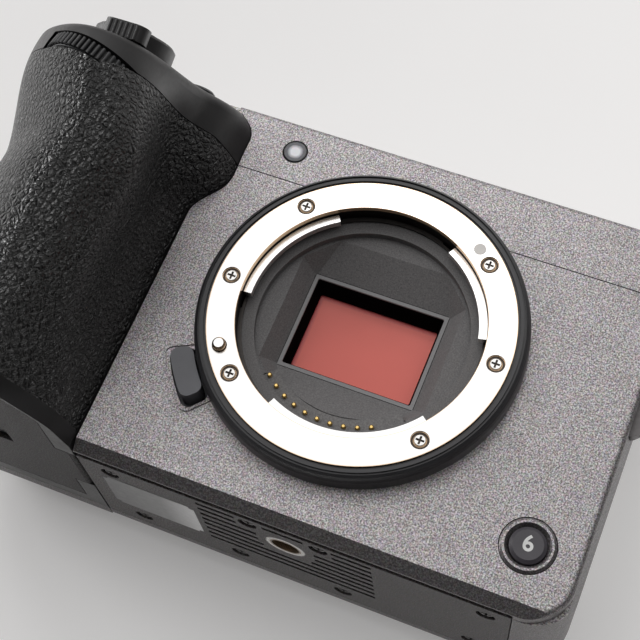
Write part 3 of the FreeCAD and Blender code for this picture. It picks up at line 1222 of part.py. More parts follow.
# Threaded bushes in the roof and the side
BUSH_PROFILE = [
    ("bush_bore", "0"), ("bush_radius", "0"), ("bush_radius", "-bush_deep - 1"), ("0", "-bush_deep - 1"),
    ("0", "-bush_deep"), ("bush_bore", "-bush_deep"),
]
roof_bushes = [turned(f"bush_{spot}", "Z", (x, y, "body_height"), BUSH_PROFILE) for spot,
               (x, y) in BUSH_SPOTS.items()]
side_bush = turned("bush_side", "X", ("body_right", "18", "54"), [
    ("bush_bore", "0"), ("bush_bore + 0.95", "0"), ("bush_bore + 0.95", "-wall"), ("bush_radius", "-wall"),
    ("bush_radius", "-bush_deep - 1"), ("0", "-bush_deep - 1"), ("0", "-bush_deep"),
    ("bush_bore", "-bush_deep"),
])
finish("thread_bushes", fuse("thread_bushes", *roof_bushes, side_bush))

# Rear controls
finish("control_wheel", turned("control_wheel", "Y", ("-wheel_left", f"{BACK} - 2.1", "wheel_height"), [
    ("wheel_bore + 0.1", "0"), ("wheel_radius", "0"), ("wheel_radius", "2.4"),
    ("wheel_radius - 0.7", "3.1"),
    ("wheel_bore + 0.8", "2.6"), ("wheel_bore + 0.1", "2.2"),
]))
finish("wheel_button", turned("wheel_button", "Y", ("-wheel_left", BACK, "wheel_height"), [
    ("0", "-4.6"), ("wheel_bore - 1.4", "-4.6"), ("wheel_bore - 1.4", "-1.7"),
    ("wheel_bore - 0.15", "-1.7"),
    ("wheel_bore - 0.15", "0.1"), ("wheel_bore - 0.7", "0.5"), ("0", "0.5"),
]))
gimbal_disc = turned("gimbal_disc", "Y", ("-joystick_left", "rear_depth", "joystick_height"), [
    ("2.2", "-1.2"), ("joystick_radius + 1.2", "-1.2"), ("joystick_radius + 1.2", "0.4"), ("2.2", "0.4"),
])
finish("joystick_gimbal", gimbal_disc)
finish("joystick", turned("joystick", "Y", ("-joystick_left", "rear_depth", "joystick_height"), [
    ("0", "-0.9"), ("1.7", "-0.9"), ("1.5", "1.6"), ("1.5", "3.6"), ("joystick_radius", "4.0"),
    ("joystick_radius", "5.3"),
    ("joystick_radius - 0.6", "5.9"), ("0", "5.5"),
]))
finish("menu_button", turned("menu_button", "Y", ("-menu_left", "rear_depth", "menu_height"), [
    ("0", "-wall - 0.9"), ("menu_radius + 0.7", "-wall - 0.9"), ("menu_radius + 0.7", "-wall - 0.25"),
    ("menu_radius", "-wall - 0.25"), ("menu_radius", "thumb_deep + 0.4"),
    ("menu_radius - 0.4", "thumb_deep + 0.8"),
    ("0", "thumb_deep + 0.7"),
]))
finish("rear_dial", turned("rear_dial", "Z", ("-rear_dial_left", "rear_depth - 4.4", "rear_dial_height"), [
    ("dial_axle + 0.06", "-1.9"), ("rear_dial_radius - 0.4", "-1.9"), ("rear_dial_radius", "-1.5"),
    ("rear_dial_radius", "1.5"),
    ("rear_dial_radius - 0.4", "1.9"), ("dial_axle + 0.06", "1.9"),
]))

# Monitor on its upright hinge
PANEL_FRONT = "rear_depth + monitor_gap"
PANEL_BACK = "rear_depth + monitor_gap + monitor_thick"
panel_blank = block("panel_blank", ("-monitor_left", "monitor_right"), (PANEL_FRONT, PANEL_BACK),
                    ("monitor_low", "monitor_high"))
panel_round = soften("panel_round", panel_blank, "edge_round",
                     lambda e: along_edge(e, Vector(0, 1, 0)) or abs(e.CenterOfMass.y - size("rear_depth")
                                                                   - size("monitor_gap") - size("monitor_thick")) < 0.01)
screen_seat = block("screen_seat", ("-monitor_left + 3", "monitor_right - 3"),
                    (f"{PANEL_BACK} - 1", f"{PANEL_BACK} + 1"),
                    ("monitor_low + 3", "monitor_high - 3"))
finish("monitor_case", cut("monitor_case", panel_round, screen_seat))
finish("monitor_glass", block("monitor_glass", ("-monitor_left + 3.1", "monitor_right - 3.1"),
                              (f"{PANEL_BACK} - 1", f"{PANEL_BACK} - 0.15"),
                              ("monitor_low + 3.1", "monitor_high - 3.1")))
HINGE_Y = "(rear_depth + monitor_gap + monitor_thick / 2)"
arm_barrel = rod("arm_barrel", "Z", ("monitor_hinge", HINGE_Y, "20.2"), "monitor_barrel", "29.6")
arm_web = block("arm_web", ("monitor_right + 0.1", "monitor_hinge"),
                (f"{HINGE_Y} - 1.6", f"{HINGE_Y} + 1.6"), ("22", "48"))
arm_bore = rod("arm_bore", "Z", ("monitor_hinge", HINGE_Y, "19"), "1.25", "33")
finish("monitor_arm", cut("monitor_arm", fuse("arm_solid", arm_barrel, arm_web), arm_bore))
bracket_foot = block("bracket_foot", ("monitor_hinge - 2.4", "body_right"), ("rear_depth", f"{HINGE_Y}"),
                     ("13.5", "20"))
bracket_head = block("bracket_head", ("monitor_hinge - 2.4", "body_right"), ("rear_depth", f"{HINGE_Y}"),
                     ("50", "56.5"))
bracket_ears = [rod(f"bracket_ear_{k}", "Z", ("monitor_hinge", HINGE_Y, low), "monitor_barrel", "6.5")
                for k, low in enumerate(("13.5", "50"))]
bracket_pin = rod("bracket_pin", "Z", ("monitor_hinge", HINGE_Y, "14"), "1.2", "42")
finish("hinge_bracket", fuse("hinge_bracket", bracket_foot, bracket_head, *bracket_ears, bracket_pin))

# Sockets behind their two covers
socket_board = block("socket_board", ("body_right - wall - 9", "body_right - wall - 7.6"),
                     ("-port_front", "port_rear"), ("12", "60"))
sockets = []
for tag, low, high, front, rear in (("video", 43, 58, 2.0, 8.2), ("data", 15, 24, -2.0, 2.0)):
    shell = block(f"{tag}_socket", ("body_right - wall - 7.7", "body_right - wall - 0.6"), (front, rear),
                  (low, high))
    mouth = block(f"{tag}_mouth", ("body_right - wall - 6", "body_right"),
                  (f"{front} + 0.8", f"{rear} - 0.8"),
                  (f"{low} + 0.8", f"{high} - 0.8"))
    sockets.append(cut(f"{tag}_shell", shell, mouth))
for tag, y, z in (("sound_in", 8.5, 28.0), ("sound_out", 8.5, 18.5)):
    jack = rod(f"{tag}_jack", "X", ("body_right - wall - 7.7", y, z), "3.3", "7.1")
    jack_bore = rod(f"{tag}_bore", "X", ("body_right - wall - 6", y, z), "1.8", "9")
    sockets.append(cut(f"{tag}_shell", jack, jack_bore))
finish("port_sockets", fuse("port_sockets", socket_board, *sockets))
for door, (low, high) in PORT_DOORS.items():
    leaf = block(f"{door}_leaf", (f"{SIDE_OUT} - port_thick", SIDE_OUT),
                 ("-port_front + 0.8", "port_rear"), (low, high))
    knuckle = rod(f"{door}_knuckle", "Z", (f"{SIDE_OUT} - port_thick / 2", "-port_front + 0.8", low),
                  "port_thick / 2",
                  high - low)
    finish(f"{door}_port_cover", fuse(f"{door}_port_cover", leaf, knuckle))

# Main board, heat sink and fan
board = block("board", ("-face_left + wall + 1", "body_right - wall - 10"), ("6.4", "6.4 + board_thick"),
              ("6", "top_seam - 4"))
chips = [block(f"chip_{k}", (x, x + wide), ("6.4 + board_thick", "6.4 + board_thick + 0.9"), (z, z + high))
         for k, (x, z, wide, high) in enumerate(((-30, 14, 9, 9), (-30, 40, 12, 8), (32, 30, 6, 10)))]
finish("main_board", fuse("main_board", board, *chips))
SINK = "(6.4 + board_thick + 0.1)"
sink_plate = block("sink_plate", ("-17", "30"), (SINK, f"{SINK} + 1.2"), ("12", "58"))
sink_fins = [block(f"sink_fin_{k}", (-17 + 4.6 * k, -16 + 4.6 * k),
                   (f"{SINK} + 1.1", f"{SINK} + 1.2 + sink_fin"), ("12", "58"))
             for k in range(11)]
finish("heat_sink", fuse("heat_sink", sink_plate, *sink_fins))
FAN_FRONT = f"({SINK} + 1.4 + sink_fin)"
FAN_AT = ("fan_right", FAN_FRONT, "fan_height")
fan_shell = turned("fan_shell", "Y", FAN_AT, [
    ("4", "0"), ("fan_radius + 1.4", "0"), ("fan_radius + 1.4", "fan_thick"), ("0", "fan_thick"),
    ("0", "fan_thick - 1"),
    ("fan_radius + 0.4", "fan_thick - 1"), ("fan_radius + 0.4", "1"), ("4", "1"),
])
fan_outlet = block("fan_outlet", ("fan_right", "fan_right + fan_radius + 4"),
                   (f"{FAN_FRONT} + 1", f"{FAN_FRONT} + fan_thick - 1"),
                   ("fan_height + 2", "fan_height + 11"))
fan_post = rod("fan_post", "Y", ("fan_right", f"{FAN_FRONT} + 2.2", "fan_height"), "1", "fan_thick - 2.3")
finish("fan_housing", fuse("fan_housing", cut("fan_case", fan_shell, fan_outlet), fan_post))
fan_hub = turned("fan_hub", "Y", FAN_AT, [
    ("1.07", "1.9"), ("4.2", "1.9"), ("4.2", "2.6"), ("fan_radius - 0.6", "2.6"),
    ("fan_radius - 0.6", "3.2"),
    ("4.2", "3.2"), ("4.2", "fan_thick - 1.5"), ("1.07", "fan_thick - 1.5"),
])
BLADES = 13
fan_blades = []
for k in range(BLADES):
    turn = 360 / BLADES * k
    corners = [(f"fan_right + {radius} * cos({turn}) - ({side}) * sin({turn})",
                f"fan_height + {radius} * sin({turn}) + ({side}) * cos({turn})")
               for radius, side in (("7", "-0.4"), ("(fan_radius - 0.6)", "-0.4"),
                                    ("(fan_radius - 0.6)", "0.4"), ("7", "0.4"))]
    fan_blades.append(plate(f"fan_blade_{k}", "Y", corners, f"{FAN_FRONT} + 3.1",
                            f"{FAN_FRONT} + fan_thick - 1.5"))
finish("fan_rotor", fuse("fan_rotor", fan_hub, *fan_blades))

doc.recompute()
faults = [item.Name for item in doc.Objects if {"Invalid", "Error"} & set(item.State)]
if faults:
    raise SystemExit("failed objects: " + ", ".join(faults))
for part in subparts:
    if part.Shape.isNull() or not part.Shape.isValid():
        raise SystemExit("bad shape: " + part.Label)

os.makedirs("parts", exist_ok=True)
for part in subparts:
    part.Shape.exportStep(f"parts/{part.Label}.step")
print(len(subparts), "sub-parts written")
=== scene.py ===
import json
import math

import bmesh
import bpy
from mathutils import Matrix, Vector


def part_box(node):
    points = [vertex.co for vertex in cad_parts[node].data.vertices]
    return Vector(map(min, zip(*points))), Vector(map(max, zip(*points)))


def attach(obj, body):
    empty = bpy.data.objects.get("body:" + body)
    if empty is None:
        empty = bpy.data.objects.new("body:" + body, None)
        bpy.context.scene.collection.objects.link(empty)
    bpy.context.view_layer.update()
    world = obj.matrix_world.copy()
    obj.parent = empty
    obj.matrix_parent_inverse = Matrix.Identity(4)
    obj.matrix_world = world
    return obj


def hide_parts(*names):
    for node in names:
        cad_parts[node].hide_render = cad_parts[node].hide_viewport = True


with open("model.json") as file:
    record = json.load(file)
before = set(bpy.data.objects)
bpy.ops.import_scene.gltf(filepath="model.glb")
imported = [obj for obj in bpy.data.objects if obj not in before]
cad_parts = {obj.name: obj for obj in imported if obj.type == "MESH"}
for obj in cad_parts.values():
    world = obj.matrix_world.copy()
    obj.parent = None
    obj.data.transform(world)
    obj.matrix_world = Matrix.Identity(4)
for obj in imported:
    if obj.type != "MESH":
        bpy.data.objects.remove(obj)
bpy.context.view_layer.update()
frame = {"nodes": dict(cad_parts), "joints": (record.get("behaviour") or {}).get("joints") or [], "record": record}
NODES = frame["nodes"]
MM = 0.001
LENS_AXIS = Vector((0, -18, 40)) * MM
RING_BORE, RING_RIM, FLANGE_Y = 22.9 * MM, 28.3 * MM, -18.0 * MM


def scaled(colour, factor):
    return tuple(c * factor for c in colour)


def put(name, data):
    """New object in the scene."""
    item = bpy.data.objects.new(name, data)
    bpy.context.scene.collection.objects.link(item)
    return item


# Node trees of the finishes
class Finish:
    """One material, filled by short calls. Patterns read the piece's own coordinates in metres."""

    def __init__(self, name, **surface):
        self.material = bpy.data.materials.new(name)
        self.material.use_nodes = True
        self.tree = self.material.node_tree
        self.shader = self.tree.nodes["Principled BSDF"]
        self.place = self.add("ShaderNodeTexCoord").outputs["Object"]
        for socket, value in surface.items():
            self.shader.inputs[socket.replace("_", " ")].default_value = value

    def add(self, kind, inputs=None, **settings):
        node = self.tree.nodes.new(kind)
        for key, value in settings.items():
            setattr(node, key, value)
        for socket, value in (inputs or {}).items():
            self.feed(value, node.inputs[socket])
        return node

    def feed(self, value, socket):
        if isinstance(value, bpy.types.NodeSocket):
            self.tree.links.new(value, socket)
        elif isinstance(value, tuple) and len(value) == 3 and socket.type == "RGBA":
            socket.default_value = (*value, 1)
        else:
            socket.default_value = value

    def noise(self, scale, detail=2.0, roughness=0.5, vector=None, dimensions="3D"):
        inputs = {"Scale": scale, "Detail": detail, "Roughness": roughness}
        inputs["W" if dimensions == "1D" else "Vector"] = vector or self.place
        return self.add("ShaderNodeTexNoise", inputs, noise_dimensions=dimensions).outputs["Fac"]

    def cells(self, scale, feature="F1", output="Distance", vector=None, randomness=1.0):
        node = self.add("ShaderNodeTexVoronoi", {"Vector": vector or self.place, "Scale": scale,
                                                 "Randomness": randomness}, feature=feature)
        return node.outputs[output]

    def sum(self, operation, first, second=0.0):
        return self.add("ShaderNodeMath", {0: first, 1: second}, operation=operation).outputs[0]

    def parts(self, vector=None):
        """X, Y and Z of the piece's own place, or of another vector."""
        return self.add("ShaderNodeSeparateXYZ", {"Vector": vector or self.place}).outputs

    def normal_parts(self):
        return self.parts(self.add("ShaderNodeTexCoord").outputs["Normal"])

    def ramp(self, fac, *stops):
        node = self.add("ShaderNodeValToRGB", {"Fac": fac})
        elements = node.color_ramp.elements
        while len(elements) < len(stops):
            elements.new(0.5)
        for element, (position, colour) in zip(elements, stops):
            element.position = position
            grey = (colour, colour, colour) if isinstance(colour, (int, float)) else colour
            element.color = (*grey, 1)
        return node.outputs["Color"]

    def mix(self, fac, first, second, blend="MIX"):
        node = self.add("ShaderNodeMix", data_type="RGBA", blend_type=blend)
        for socket, value in ((0, fac), (6, first), (7, second)):
            self.feed(value, node.inputs[socket])
        return node.outputs[2]

    def span(self, value, low, high, to_low=0.0, to_high=1.0):
        return self.add("ShaderNodeMapRange", {"Value": value, "From Min": low, "From Max": high,
                                               "To Min": to_low, "To Max": to_high}).outputs["Result"]

    def bump(self, height, distance, strength=1.0):
        node = self.add("ShaderNodeBump", {"Height": height, "Distance": distance, "Strength": strength})
        return node.outputs["Normal"]

    def ring_distance(self, centre, across=("X", "Z")):
        """Distance from an axis through a point, for turned finishes."""
        here, places = self.parts(), dict(zip("XYZ", centre))
        squares = [self.sum("POWER", self.sum("SUBTRACT", here[a], places[a]), 2.0) for a in across]
        return self.sum("SQRT", self.sum("ADD", *squares))

    def give(self, **sockets):
        for name, value in sockets.items():
            self.feed(value, self.shader.inputs[name.replace("_", " ")])
        return self.material


def speckled_paint(name, dark, middle, light, metal=0.7, gloss=0.4, slots=False, painted_side_shade=0.0):
    """Baked hammered-fleck paint: fine light flecks in a warm grey coat, with an orange-peel surface.

    It can paint shade: black inside the vent slots, and darker, flatter flecks on faces turned down or to the
    right.
    """
    coat = Finish(name, Metallic=metal, Specular_IOR_Level=gloss)
    fleck = coat.noise(3300, 2.5, 0.72)
    cloud = coat.noise(420, 3.0, 0.6)
    tone = coat.sum("ADD", fleck, coat.sum("MULTIPLY", coat.sum("SUBTRACT", cloud, 0.5), 0.08))
    colour = coat.ramp(tone, (0.36, dark), (0.5, middle), (0.64, light))
    spark = coat.cells(2600, output="Color")
    glint = coat.ramp(spark, (0.80, 0.0), (0.95, 1.0))
    colour = coat.mix(coat.sum("MULTIPLY", glint, 0.22), colour, light)
    colour = coat.mix(0.10, colour, spark, "OVERLAY")
    # Painted shade: inside the vent slots of the base plate the paint is made near black.
    if slots:
        low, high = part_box("base_plate")
        here, edge = coat.parts(), 4 * MM
        inside = coat.sum("MULTIPLY", coat.sum("GREATER_THAN", here["Z"], 0.35 * MM),
                          coat.sum("LESS_THAN", here["Y"], high.y - edge))
        inside = coat.sum("MULTIPLY", inside, coat.sum("GREATER_THAN", here["Y"], low.y + edge))
        colour = coat.mix(inside, colour, (0.004, 0.004, 0.004))
    # Painted shade: faces turned down or to the right are painted darker, with flatter flecks.
    if painted_side_shade:
        facing = coat.normal_parts()
        turned = coat.sum("MAXIMUM", coat.span(facing["X"], 0.25, 0.85), coat.span(facing["Z"], -0.25, -0.65))
        colour = coat.mix(coat.sum("MULTIPLY", turned, painted_side_shade), colour, scaled(middle, 0.28))
    rough = coat.span(fleck, 0.3, 0.7, 0.50, 0.36)
    surface = coat.bump(fleck, 0.00006, 0.55)
    return coat.give(Base_Color=colour, Roughness=rough, Normal=surface)


def moulded_black(name, colour, rough=0.42, grain=2600, depth=0.00002):
    """Satin moulding or fine black coat with a very fine grain and slight handling marks."""
    shell = Finish(name, Specular_IOR_Level=0.5)
    fine = shell.noise(grain, 2.0, 0.6)
    wide = shell.noise(90, 3.0, 0.55)
    tone = shell.mix(shell.span(wide, 0.3, 0.7), scaled(colour, 0.82), scaled(colour, 1.2))
    shade = shell.span(shell.sum("ADD", fine, wide), 0.7, 1.3, rough - 0.07, rough + 0.09)
    return shell.give(Base_Color=tone, Roughness=shade, Normal=shell.bump(fine, depth, 0.6))


def pebbled_leather(name):
    """Black pebbled leather: rounded cells about a millimetre wide, split by creases of different depth."""
    hide = Finish(name, Specular_IOR_Level=0.62, Coat_Weight=0.25, Coat_Roughness=0.22)
    drift = hide.add("ShaderNodeTexNoise", {"Vector": hide.place, "Scale": 520.0, "Detail": 2.0})
    drift = hide.add("ShaderNodeVectorMath", {0: drift.outputs["Color"], 1: (0.5, 0.5, 0.5)},
                     operation="SUBTRACT").outputs[0]
    drift = hide.add("ShaderNodeVectorMath", {0: drift, "Scale": 0.0006}, operation="SCALE").outputs[0]
    bent = hide.add("ShaderNodeVectorMath", {0: hide.place, 1: drift}, operation="ADD").outputs[0]
    large = hide.cells(830, "DISTANCE_TO_EDGE", vector=bent)
    small = hide.cells(1700, "DISTANCE_TO_EDGE", vector=bent)
    pebble = hide.ramp(large, (0.0, 0.0), (0.10, 0.45), (0.26, 0.86), (0.5, 1.0))
    grains = hide.ramp(small, (0.0, 0.0), (0.12, 0.7), (0.3, 1.0))
    relief = hide.sum("ADD", hide.sum("MULTIPLY", pebble, 0.80), hide.sum("MULTIPLY", grains, 0.20))
    pores = hide.noise(5200, 2.0, 0.6)
    relief = hide.sum("ADD", relief, hide.sum("MULTIPLY", pores, 0.035))
    # Painted shade: the colour is darker down in the creases, where the relief is low.
    tone = hide.mix(relief, (0.0010, 0.0009, 0.0010), (0.0050, 0.0045, 0.0048))
    rough = hide.span(relief, 0.2, 1.0, 0.45, 0.22)
    surface = hide.bump(relief, 0.00095, 1.0)
    hide.feed(surface, hide.shader.inputs["Coat Normal"])
    return hide.give(Base_Color=tone, Roughness=rough, Normal=surface)


def mount_steel(name):
    """Polished bayonet ring: turned lines, painted warm reflection as copper lines at its edges and on its side
    faces, painted shade as a near-black bore behind it.
    """
    ring = Finish(name, Metallic=1.0)
    reach = ring.ring_distance(LENS_AXIS)
    depth = ring.parts()["Y"]
    line = ring.noise(9000, 3.0, 0.6, vector=reach, dimensions="1D")
    # Painted reflection: a warm copper tint along the inner and outer edges, and on faces turned aside near the
    # flange.
    warm = ring.ramp(ring.span(reach, RING_BORE, RING_RIM), (0.0, 0.0), (0.01, 1.0), (0.03, 1.0), (0.05, 0.0),
                     (0.965, 0.0), (1.0, 0.9))
    aside = ring.sum("GREATER_THAN", ring.normal_parts()["Y"], -0.75)
    edge = ring.ramp(ring.span(depth, FLANGE_Y, FLANGE_Y + 1.5 * MM), (0.3, 1.0), (0.7, 0.15))
    edge = ring.sum("MULTIPLY", aside, edge)
    tone = ring.mix(ring.sum("MAXIMUM", warm, edge), (0.90, 0.885, 0.87), (0.74, 0.52, 0.33))
    # Painted shade: behind the flange and outside the bore the ring is painted near black.
    bore = ring.sum("MULTIPLY", ring.sum("GREATER_THAN", depth, FLANGE_Y + 1.1 * MM),
                    ring.sum("GREATER_THAN", reach, RING_BORE))
    tone = ring.mix(bore, tone, (0.012, 0.011, 0.011))
    rough = ring.sum("ADD", ring.span(line, 0.3, 0.7, 0.20, 0.33), ring.sum("MULTIPLY", bore, 0.25))
    return ring.give(Base_Color=tone, Roughness=rough, Normal=ring.bump(line, 0.000005, 0.3))


def plated_metal(name, colour, rough=0.30, grain=1500, metallic=1.0):
    """Plated or bead-blasted small part."""
    plate = Finish(name, Metallic=metallic)
    fine = plate.noise(grain, 3.0, 0.6)
    wide = plate.noise(160, 3.0, 0.6)
    tone = plate.mix(plate.span(wide, 0.3, 0.7), scaled(colour, 0.86), colour)
    return plate.give(Base_Color=tone, Roughness=plate.span(fine, 0.3, 0.7, rough - 0.06, rough + 0.10),
                      Normal=plate.bump(fine, 0.00001, 0.4))


def recess_shaded_steel(name, node, sunk):
    """Bright screw steel with painted shade: dark wherever it lies deeper than `sunk` below the screws' outer
    face.
    """
    steel = Finish(name, Metallic=1.0)
    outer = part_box(node)[0].y
    deep = steel.span(steel.parts()["Y"], outer + sunk, outer + sunk + 0.06 * MM)
    fine = steel.noise(1500, 3.0, 0.6)
    tone = steel.mix(steel.span(fine, 0.3, 0.7), (0.74, 0.73, 0.71), (0.84, 0.83, 0.81))
    # Painted shade in the cross recesses and the seats.
    tone = steel.mix(deep, tone, (0.055, 0.046, 0.040))
    return steel.give(Base_Color=tone, Roughness=steel.span(fine, 0.3, 0.7, 0.26, 0.40),
                      Normal=steel.bump(fine, 0.00001, 0.4))


def flocked_black(name, colour):
    """Light-trap black of the lens throat: matte with a faint fibre grain."""
    trap = Finish(name, Specular_IOR_Level=0.30)
    fibre = trap.noise(3800, 3.0, 0.7)
    tone = trap.mix(trap.span(fibre, 0.3, 0.7), scaled(colour, 0.7), scaled(colour, 1.5))
    return trap.give(Base_Color=tone, Roughness=trap.span(fibre, 0.3, 0.7, 0.55, 0.75),
                     Normal=trap.bump(fibre, 0.00002, 0.5))


def coated_sensor(name):
    """Image sensor: wine-red coated silicon with a faint pixel weave and a painted light gradient that makes it
    lighter towards +X and -Z.
    """
    chip = Finish(name, Roughness=0.16, Specular_IOR_Level=0.7, Coat_Weight=0.6, Coat_Roughness=0.05)
    here = chip.parts()
    slope = chip.sum("ADD", here["X"], chip.sum("MULTIPLY", here["Z"], -0.7))
    across = chip.span(slope, -35 * MM, -18 * MM)
    weave = chip.add("ShaderNodeTexChecker", {"Vector": chip.place, "Scale": 9000.0}).outputs["Fac"]
    cloud = chip.noise(70, 2.0)
    # Painted light: the colour grows lighter towards +X and -Z.
    tone = chip.mix(across, (0.44, 0.100, 0.078), (0.50, 0.128, 0.100))
    tone = chip.mix(chip.sum("MULTIPLY", weave, 0.10), tone, (0.30, 0.07, 0.07))
    tone = chip.mix(chip.sum("MULTIPLY", cloud, 0.12), tone, (0.56, 0.17, 0.13))
    return chip.give(Base_Color=tone)


def window_rim(name):
    """Frame round the sensor window: satin grey at its narrow front rim, near black deeper in."""
    rim = Finish(name, Specular_IOR_Level=0.4)
    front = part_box("window_frame")[0].y
    fine = rim.noise(2600, 2.0, 0.6)
    depth = rim.sum("SUBTRACT", rim.parts()["Y"], front)
    inside = rim.ramp(rim.span(depth, 0.0, 2 * MM), (0.02, 0.0), (0.16, 1.0))
    bright = rim.mix(fine, (0.20, 0.195, 0.20), (0.30, 0.295, 0.30))
    tone = rim.mix(inside, bright, (0.002, 0.002, 0.0025))
    rough = rim.sum("ADD", rim.span(fine, 0.3, 0.7, 0.38, 0.52), rim.sum("MULTIPLY", inside, 0.40))
    sheen = rim.span(inside, 0.0, 1.0, 0.4, 0.02)
    return rim.give(Base_Color=tone, Roughness=rough, Specular_IOR_Level=sheen,
                    Normal=rim.bump(fine, 0.00001, 0.4))


def clear_filter(name, tint, alpha, rough):
    """Coated cover glass that glows red, with a painted highlight as a pinker line along its upper and left edges.
    """
    pane = Finish(name, Alpha=alpha, Specular_IOR_Level=0.25)
    low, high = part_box("sensor_filter")
    here, margin, line = pane.parts(), 1.15 * MM, 0.6 * MM
    # Painted highlight: a pinker line along the upper and left edges only.
    left = pane.span(here["X"], low.x + margin, low.x + margin + line, 1.0, 0.0)
    top = pane.span(here["Z"], high.z - margin - line, high.z - margin, 0.0, 1.0)
    smear = pane.noise(140, 4.0, 0.6)
    cloud = pane.span(pane.noise(60, 2.0), 0.35, 0.65)
    body = pane.mix(cloud, scaled(tint, 0.94), tint)
    tone = pane.mix(pane.sum("MULTIPLY", pane.sum("MAXIMUM", left, top), 0.6), body, (0.56, 0.105, 0.125))
    return pane.give(Base_Color=tone, Roughness=pane.span(smear, 0.3, 0.7, rough, rough + 0.05))


def screen_glass(name):
    """Black glass of the monitor with faint finger smears."""
    pane = Finish(name, Specular_IOR_Level=0.5, Coat_Weight=1.0, Coat_Roughness=0.02)
    smear = pane.noise(45, 5.0, 0.62)
    cloud = pane.noise(300, 2.0)
    tone = pane.mix(pane.span(cloud, 0.3, 0.7), (0.006, 0.006, 0.008), (0.012, 0.012, 0.015))
    return pane.give(Base_Color=tone, Roughness=pane.span(smear, 0.45, 0.75, 0.04, 0.17))


def board_finish(name):
    """Printed circuit board: green mask over copper runs on a square grid."""
    board = Finish(name, Specular_IOR_Level=0.5, Roughness=0.35)
    runs = board.add("ShaderNodeTexBrick", {
        "Vector": board.place, "Scale": 300.0, "Mortar Size": 0.06, "Color1": (0.012, 0.085, 0.035, 1),
        "Color2": (0.016, 0.11, 0.045, 1), "Mortar": (0.05, 0.22, 0.09, 1)})
    pads = board.cells(260, output="Distance", randomness=0.2)
    tone = board.mix(board.ramp(pads, (0.10, 1.0), (0.16, 0.0)), runs.outputs["Color"], (0.75, 0.55, 0.22))
    return board.give(Base_Color=tone, Normal=board.bump(runs.outputs["Fac"], 0.00003, 0.4))


def lamp_finish(name):
    """Milky lamp lens that is whiter in its middle."""
    lens = Finish(name, Roughness=0.22, Specular_IOR_Level=0.6, Subsurface_Weight=0.3, Subsurface_Scale=0.001)
    low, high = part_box("lamp_lens")
    middle = (low + high) / 2
    reach = lens.ring_distance(middle)
    haze = lens.noise(900, 2.0)
    reach = lens.sum("ADD", reach, lens.sum("MULTIPLY", haze, 0.0003))
    tone = lens.ramp(lens.span(reach, 0.0, (high.x - low.x) / 2),
                     (0.40, (0.96, 0.95, 0.99)), (0.60, (0.40, 0.40, 0.44)), (0.70, (0.10, 0.10, 0.12)),
                     (0.86, (0.07, 0.07, 0.08)), (0.94, (0.012, 0.012, 0.014)))
    return lens.give(Base_Color=tone)


def socket_steel(name):
    """Plated socket: bright at its rim, dark inside its bore."""
    bush = Finish(name, Metallic=0.55)
    reach = bush.ring_distance((0, 0, 0), ("X", "Y"))
    line = bush.noise(6000, 2.0, 0.6, vector=reach, dimensions="1D")
    tone = bush.ramp(bush.span(reach, 2.5 * MM, 4.5 * MM),
                     (0.12, (0.30, 0.23, 0.16)), (0.30, (0.42, 0.34, 0.25)),
                     (0.36, (0.90, 0.88, 0.85)), (0.8, (0.80, 0.78, 0.74)))
    return bush.give(Base_Color=tone, Roughness=bush.span(line, 0.3, 0.7, 0.22, 0.36),
                     Normal=bush.bump(line, 0.00001, 0.4))


def sticker_finish(name):
    """Satin foil that is paler towards its right end, a painted reflection, with faint rubbing marks."""
    foil = Finish(name, Metallic=0.6, Specular_IOR_Level=0.5)
    wear = foil.noise(700, 4.0, 0.65)
    # Painted reflection: the foil is painted paler towards its right end.
    along = foil.span(foil.parts()["X"], -37 * MM, -18 * MM)
    tone = foil.ramp(along, (0.1, 0.20), (0.6, 0.34), (1.0, 0.95))
    tone = foil.mix(foil.sum("MULTIPLY", wear, 0.25), tone, (0.30, 0.30, 0.31))
    return foil.give(Base_Color=tone, Roughness=foil.span(wear, 0.3, 0.7, 0.34, 0.48))


PAINT = speckled_paint("speckled_paint", (0.128, 0.118, 0.120), (0.335, 0.314, 0.317), (0.68, 0.65, 0.66),
                       painted_side_shade=0.75)
# Painted shade: a darker copy of the body paint for the base plate, which faces down.
SHADED_BASE_PAINT = speckled_paint("base_paint", (0.055, 0.048, 0.048), (0.110, 0.099, 0.099), (0.22, 0.20, 0.20),
                            metal=0.1, gloss=0.2, slots=True)
# Painted shade: a still darker copy of the paint for the battery door under the grip.
SHADED_DOOR_PAINT = speckled_paint("shaded_door_paint", (0.030, 0.027, 0.027), (0.060, 0.055, 0.055), (0.13, 0.12, 0.12),
                            metal=0.0, gloss=0.1)
# Darker copy of the body paint for the rear cover: partly its own darker coat, partly painted shade of the contact
# shadow on its lower strip.
SHADED_REAR_PAINT = speckled_paint("shaded_rear_paint", (0.060, 0.054, 0.054), (0.150, 0.139, 0.140), (0.32, 0.30, 0.30),
                            metal=0.3, gloss=0.3)
HOUSING = moulded_black("housing_black", (0.019, 0.018, 0.0185), 0.42, 1500, 0.000016)
RELEASE = moulded_black("release_black", (0.135, 0.136, 0.150), 0.34, 1500, 0.000012)
BUTTON = moulded_black("button_black", (0.060, 0.055, 0.064), 0.40)
RING_BLACK = moulded_black("trim_ring_black", (0.034, 0.033, 0.036), 0.36, 2400, 0.00001)
PLASTIC = moulded_black("black_plastic", (0.026, 0.026, 0.028), 0.45)
RUBBER = moulded_black("soft_rubber", (0.018, 0.018, 0.019), 0.62, 1900, 0.00003)
CASTING = plated_metal("cast_frame", (0.030, 0.030, 0.032), 0.55, 900, 0.4)
STEEL = mount_steel("mount_steel")
BUSH_STEEL = plated_metal("bush_steel", (0.55, 0.53, 0.50), 0.34)
SOCKET_STEEL = socket_steel("socket_steel")
THREAD_STEEL = plated_metal("thread_steel", (0.80, 0.66, 0.48), 0.30)
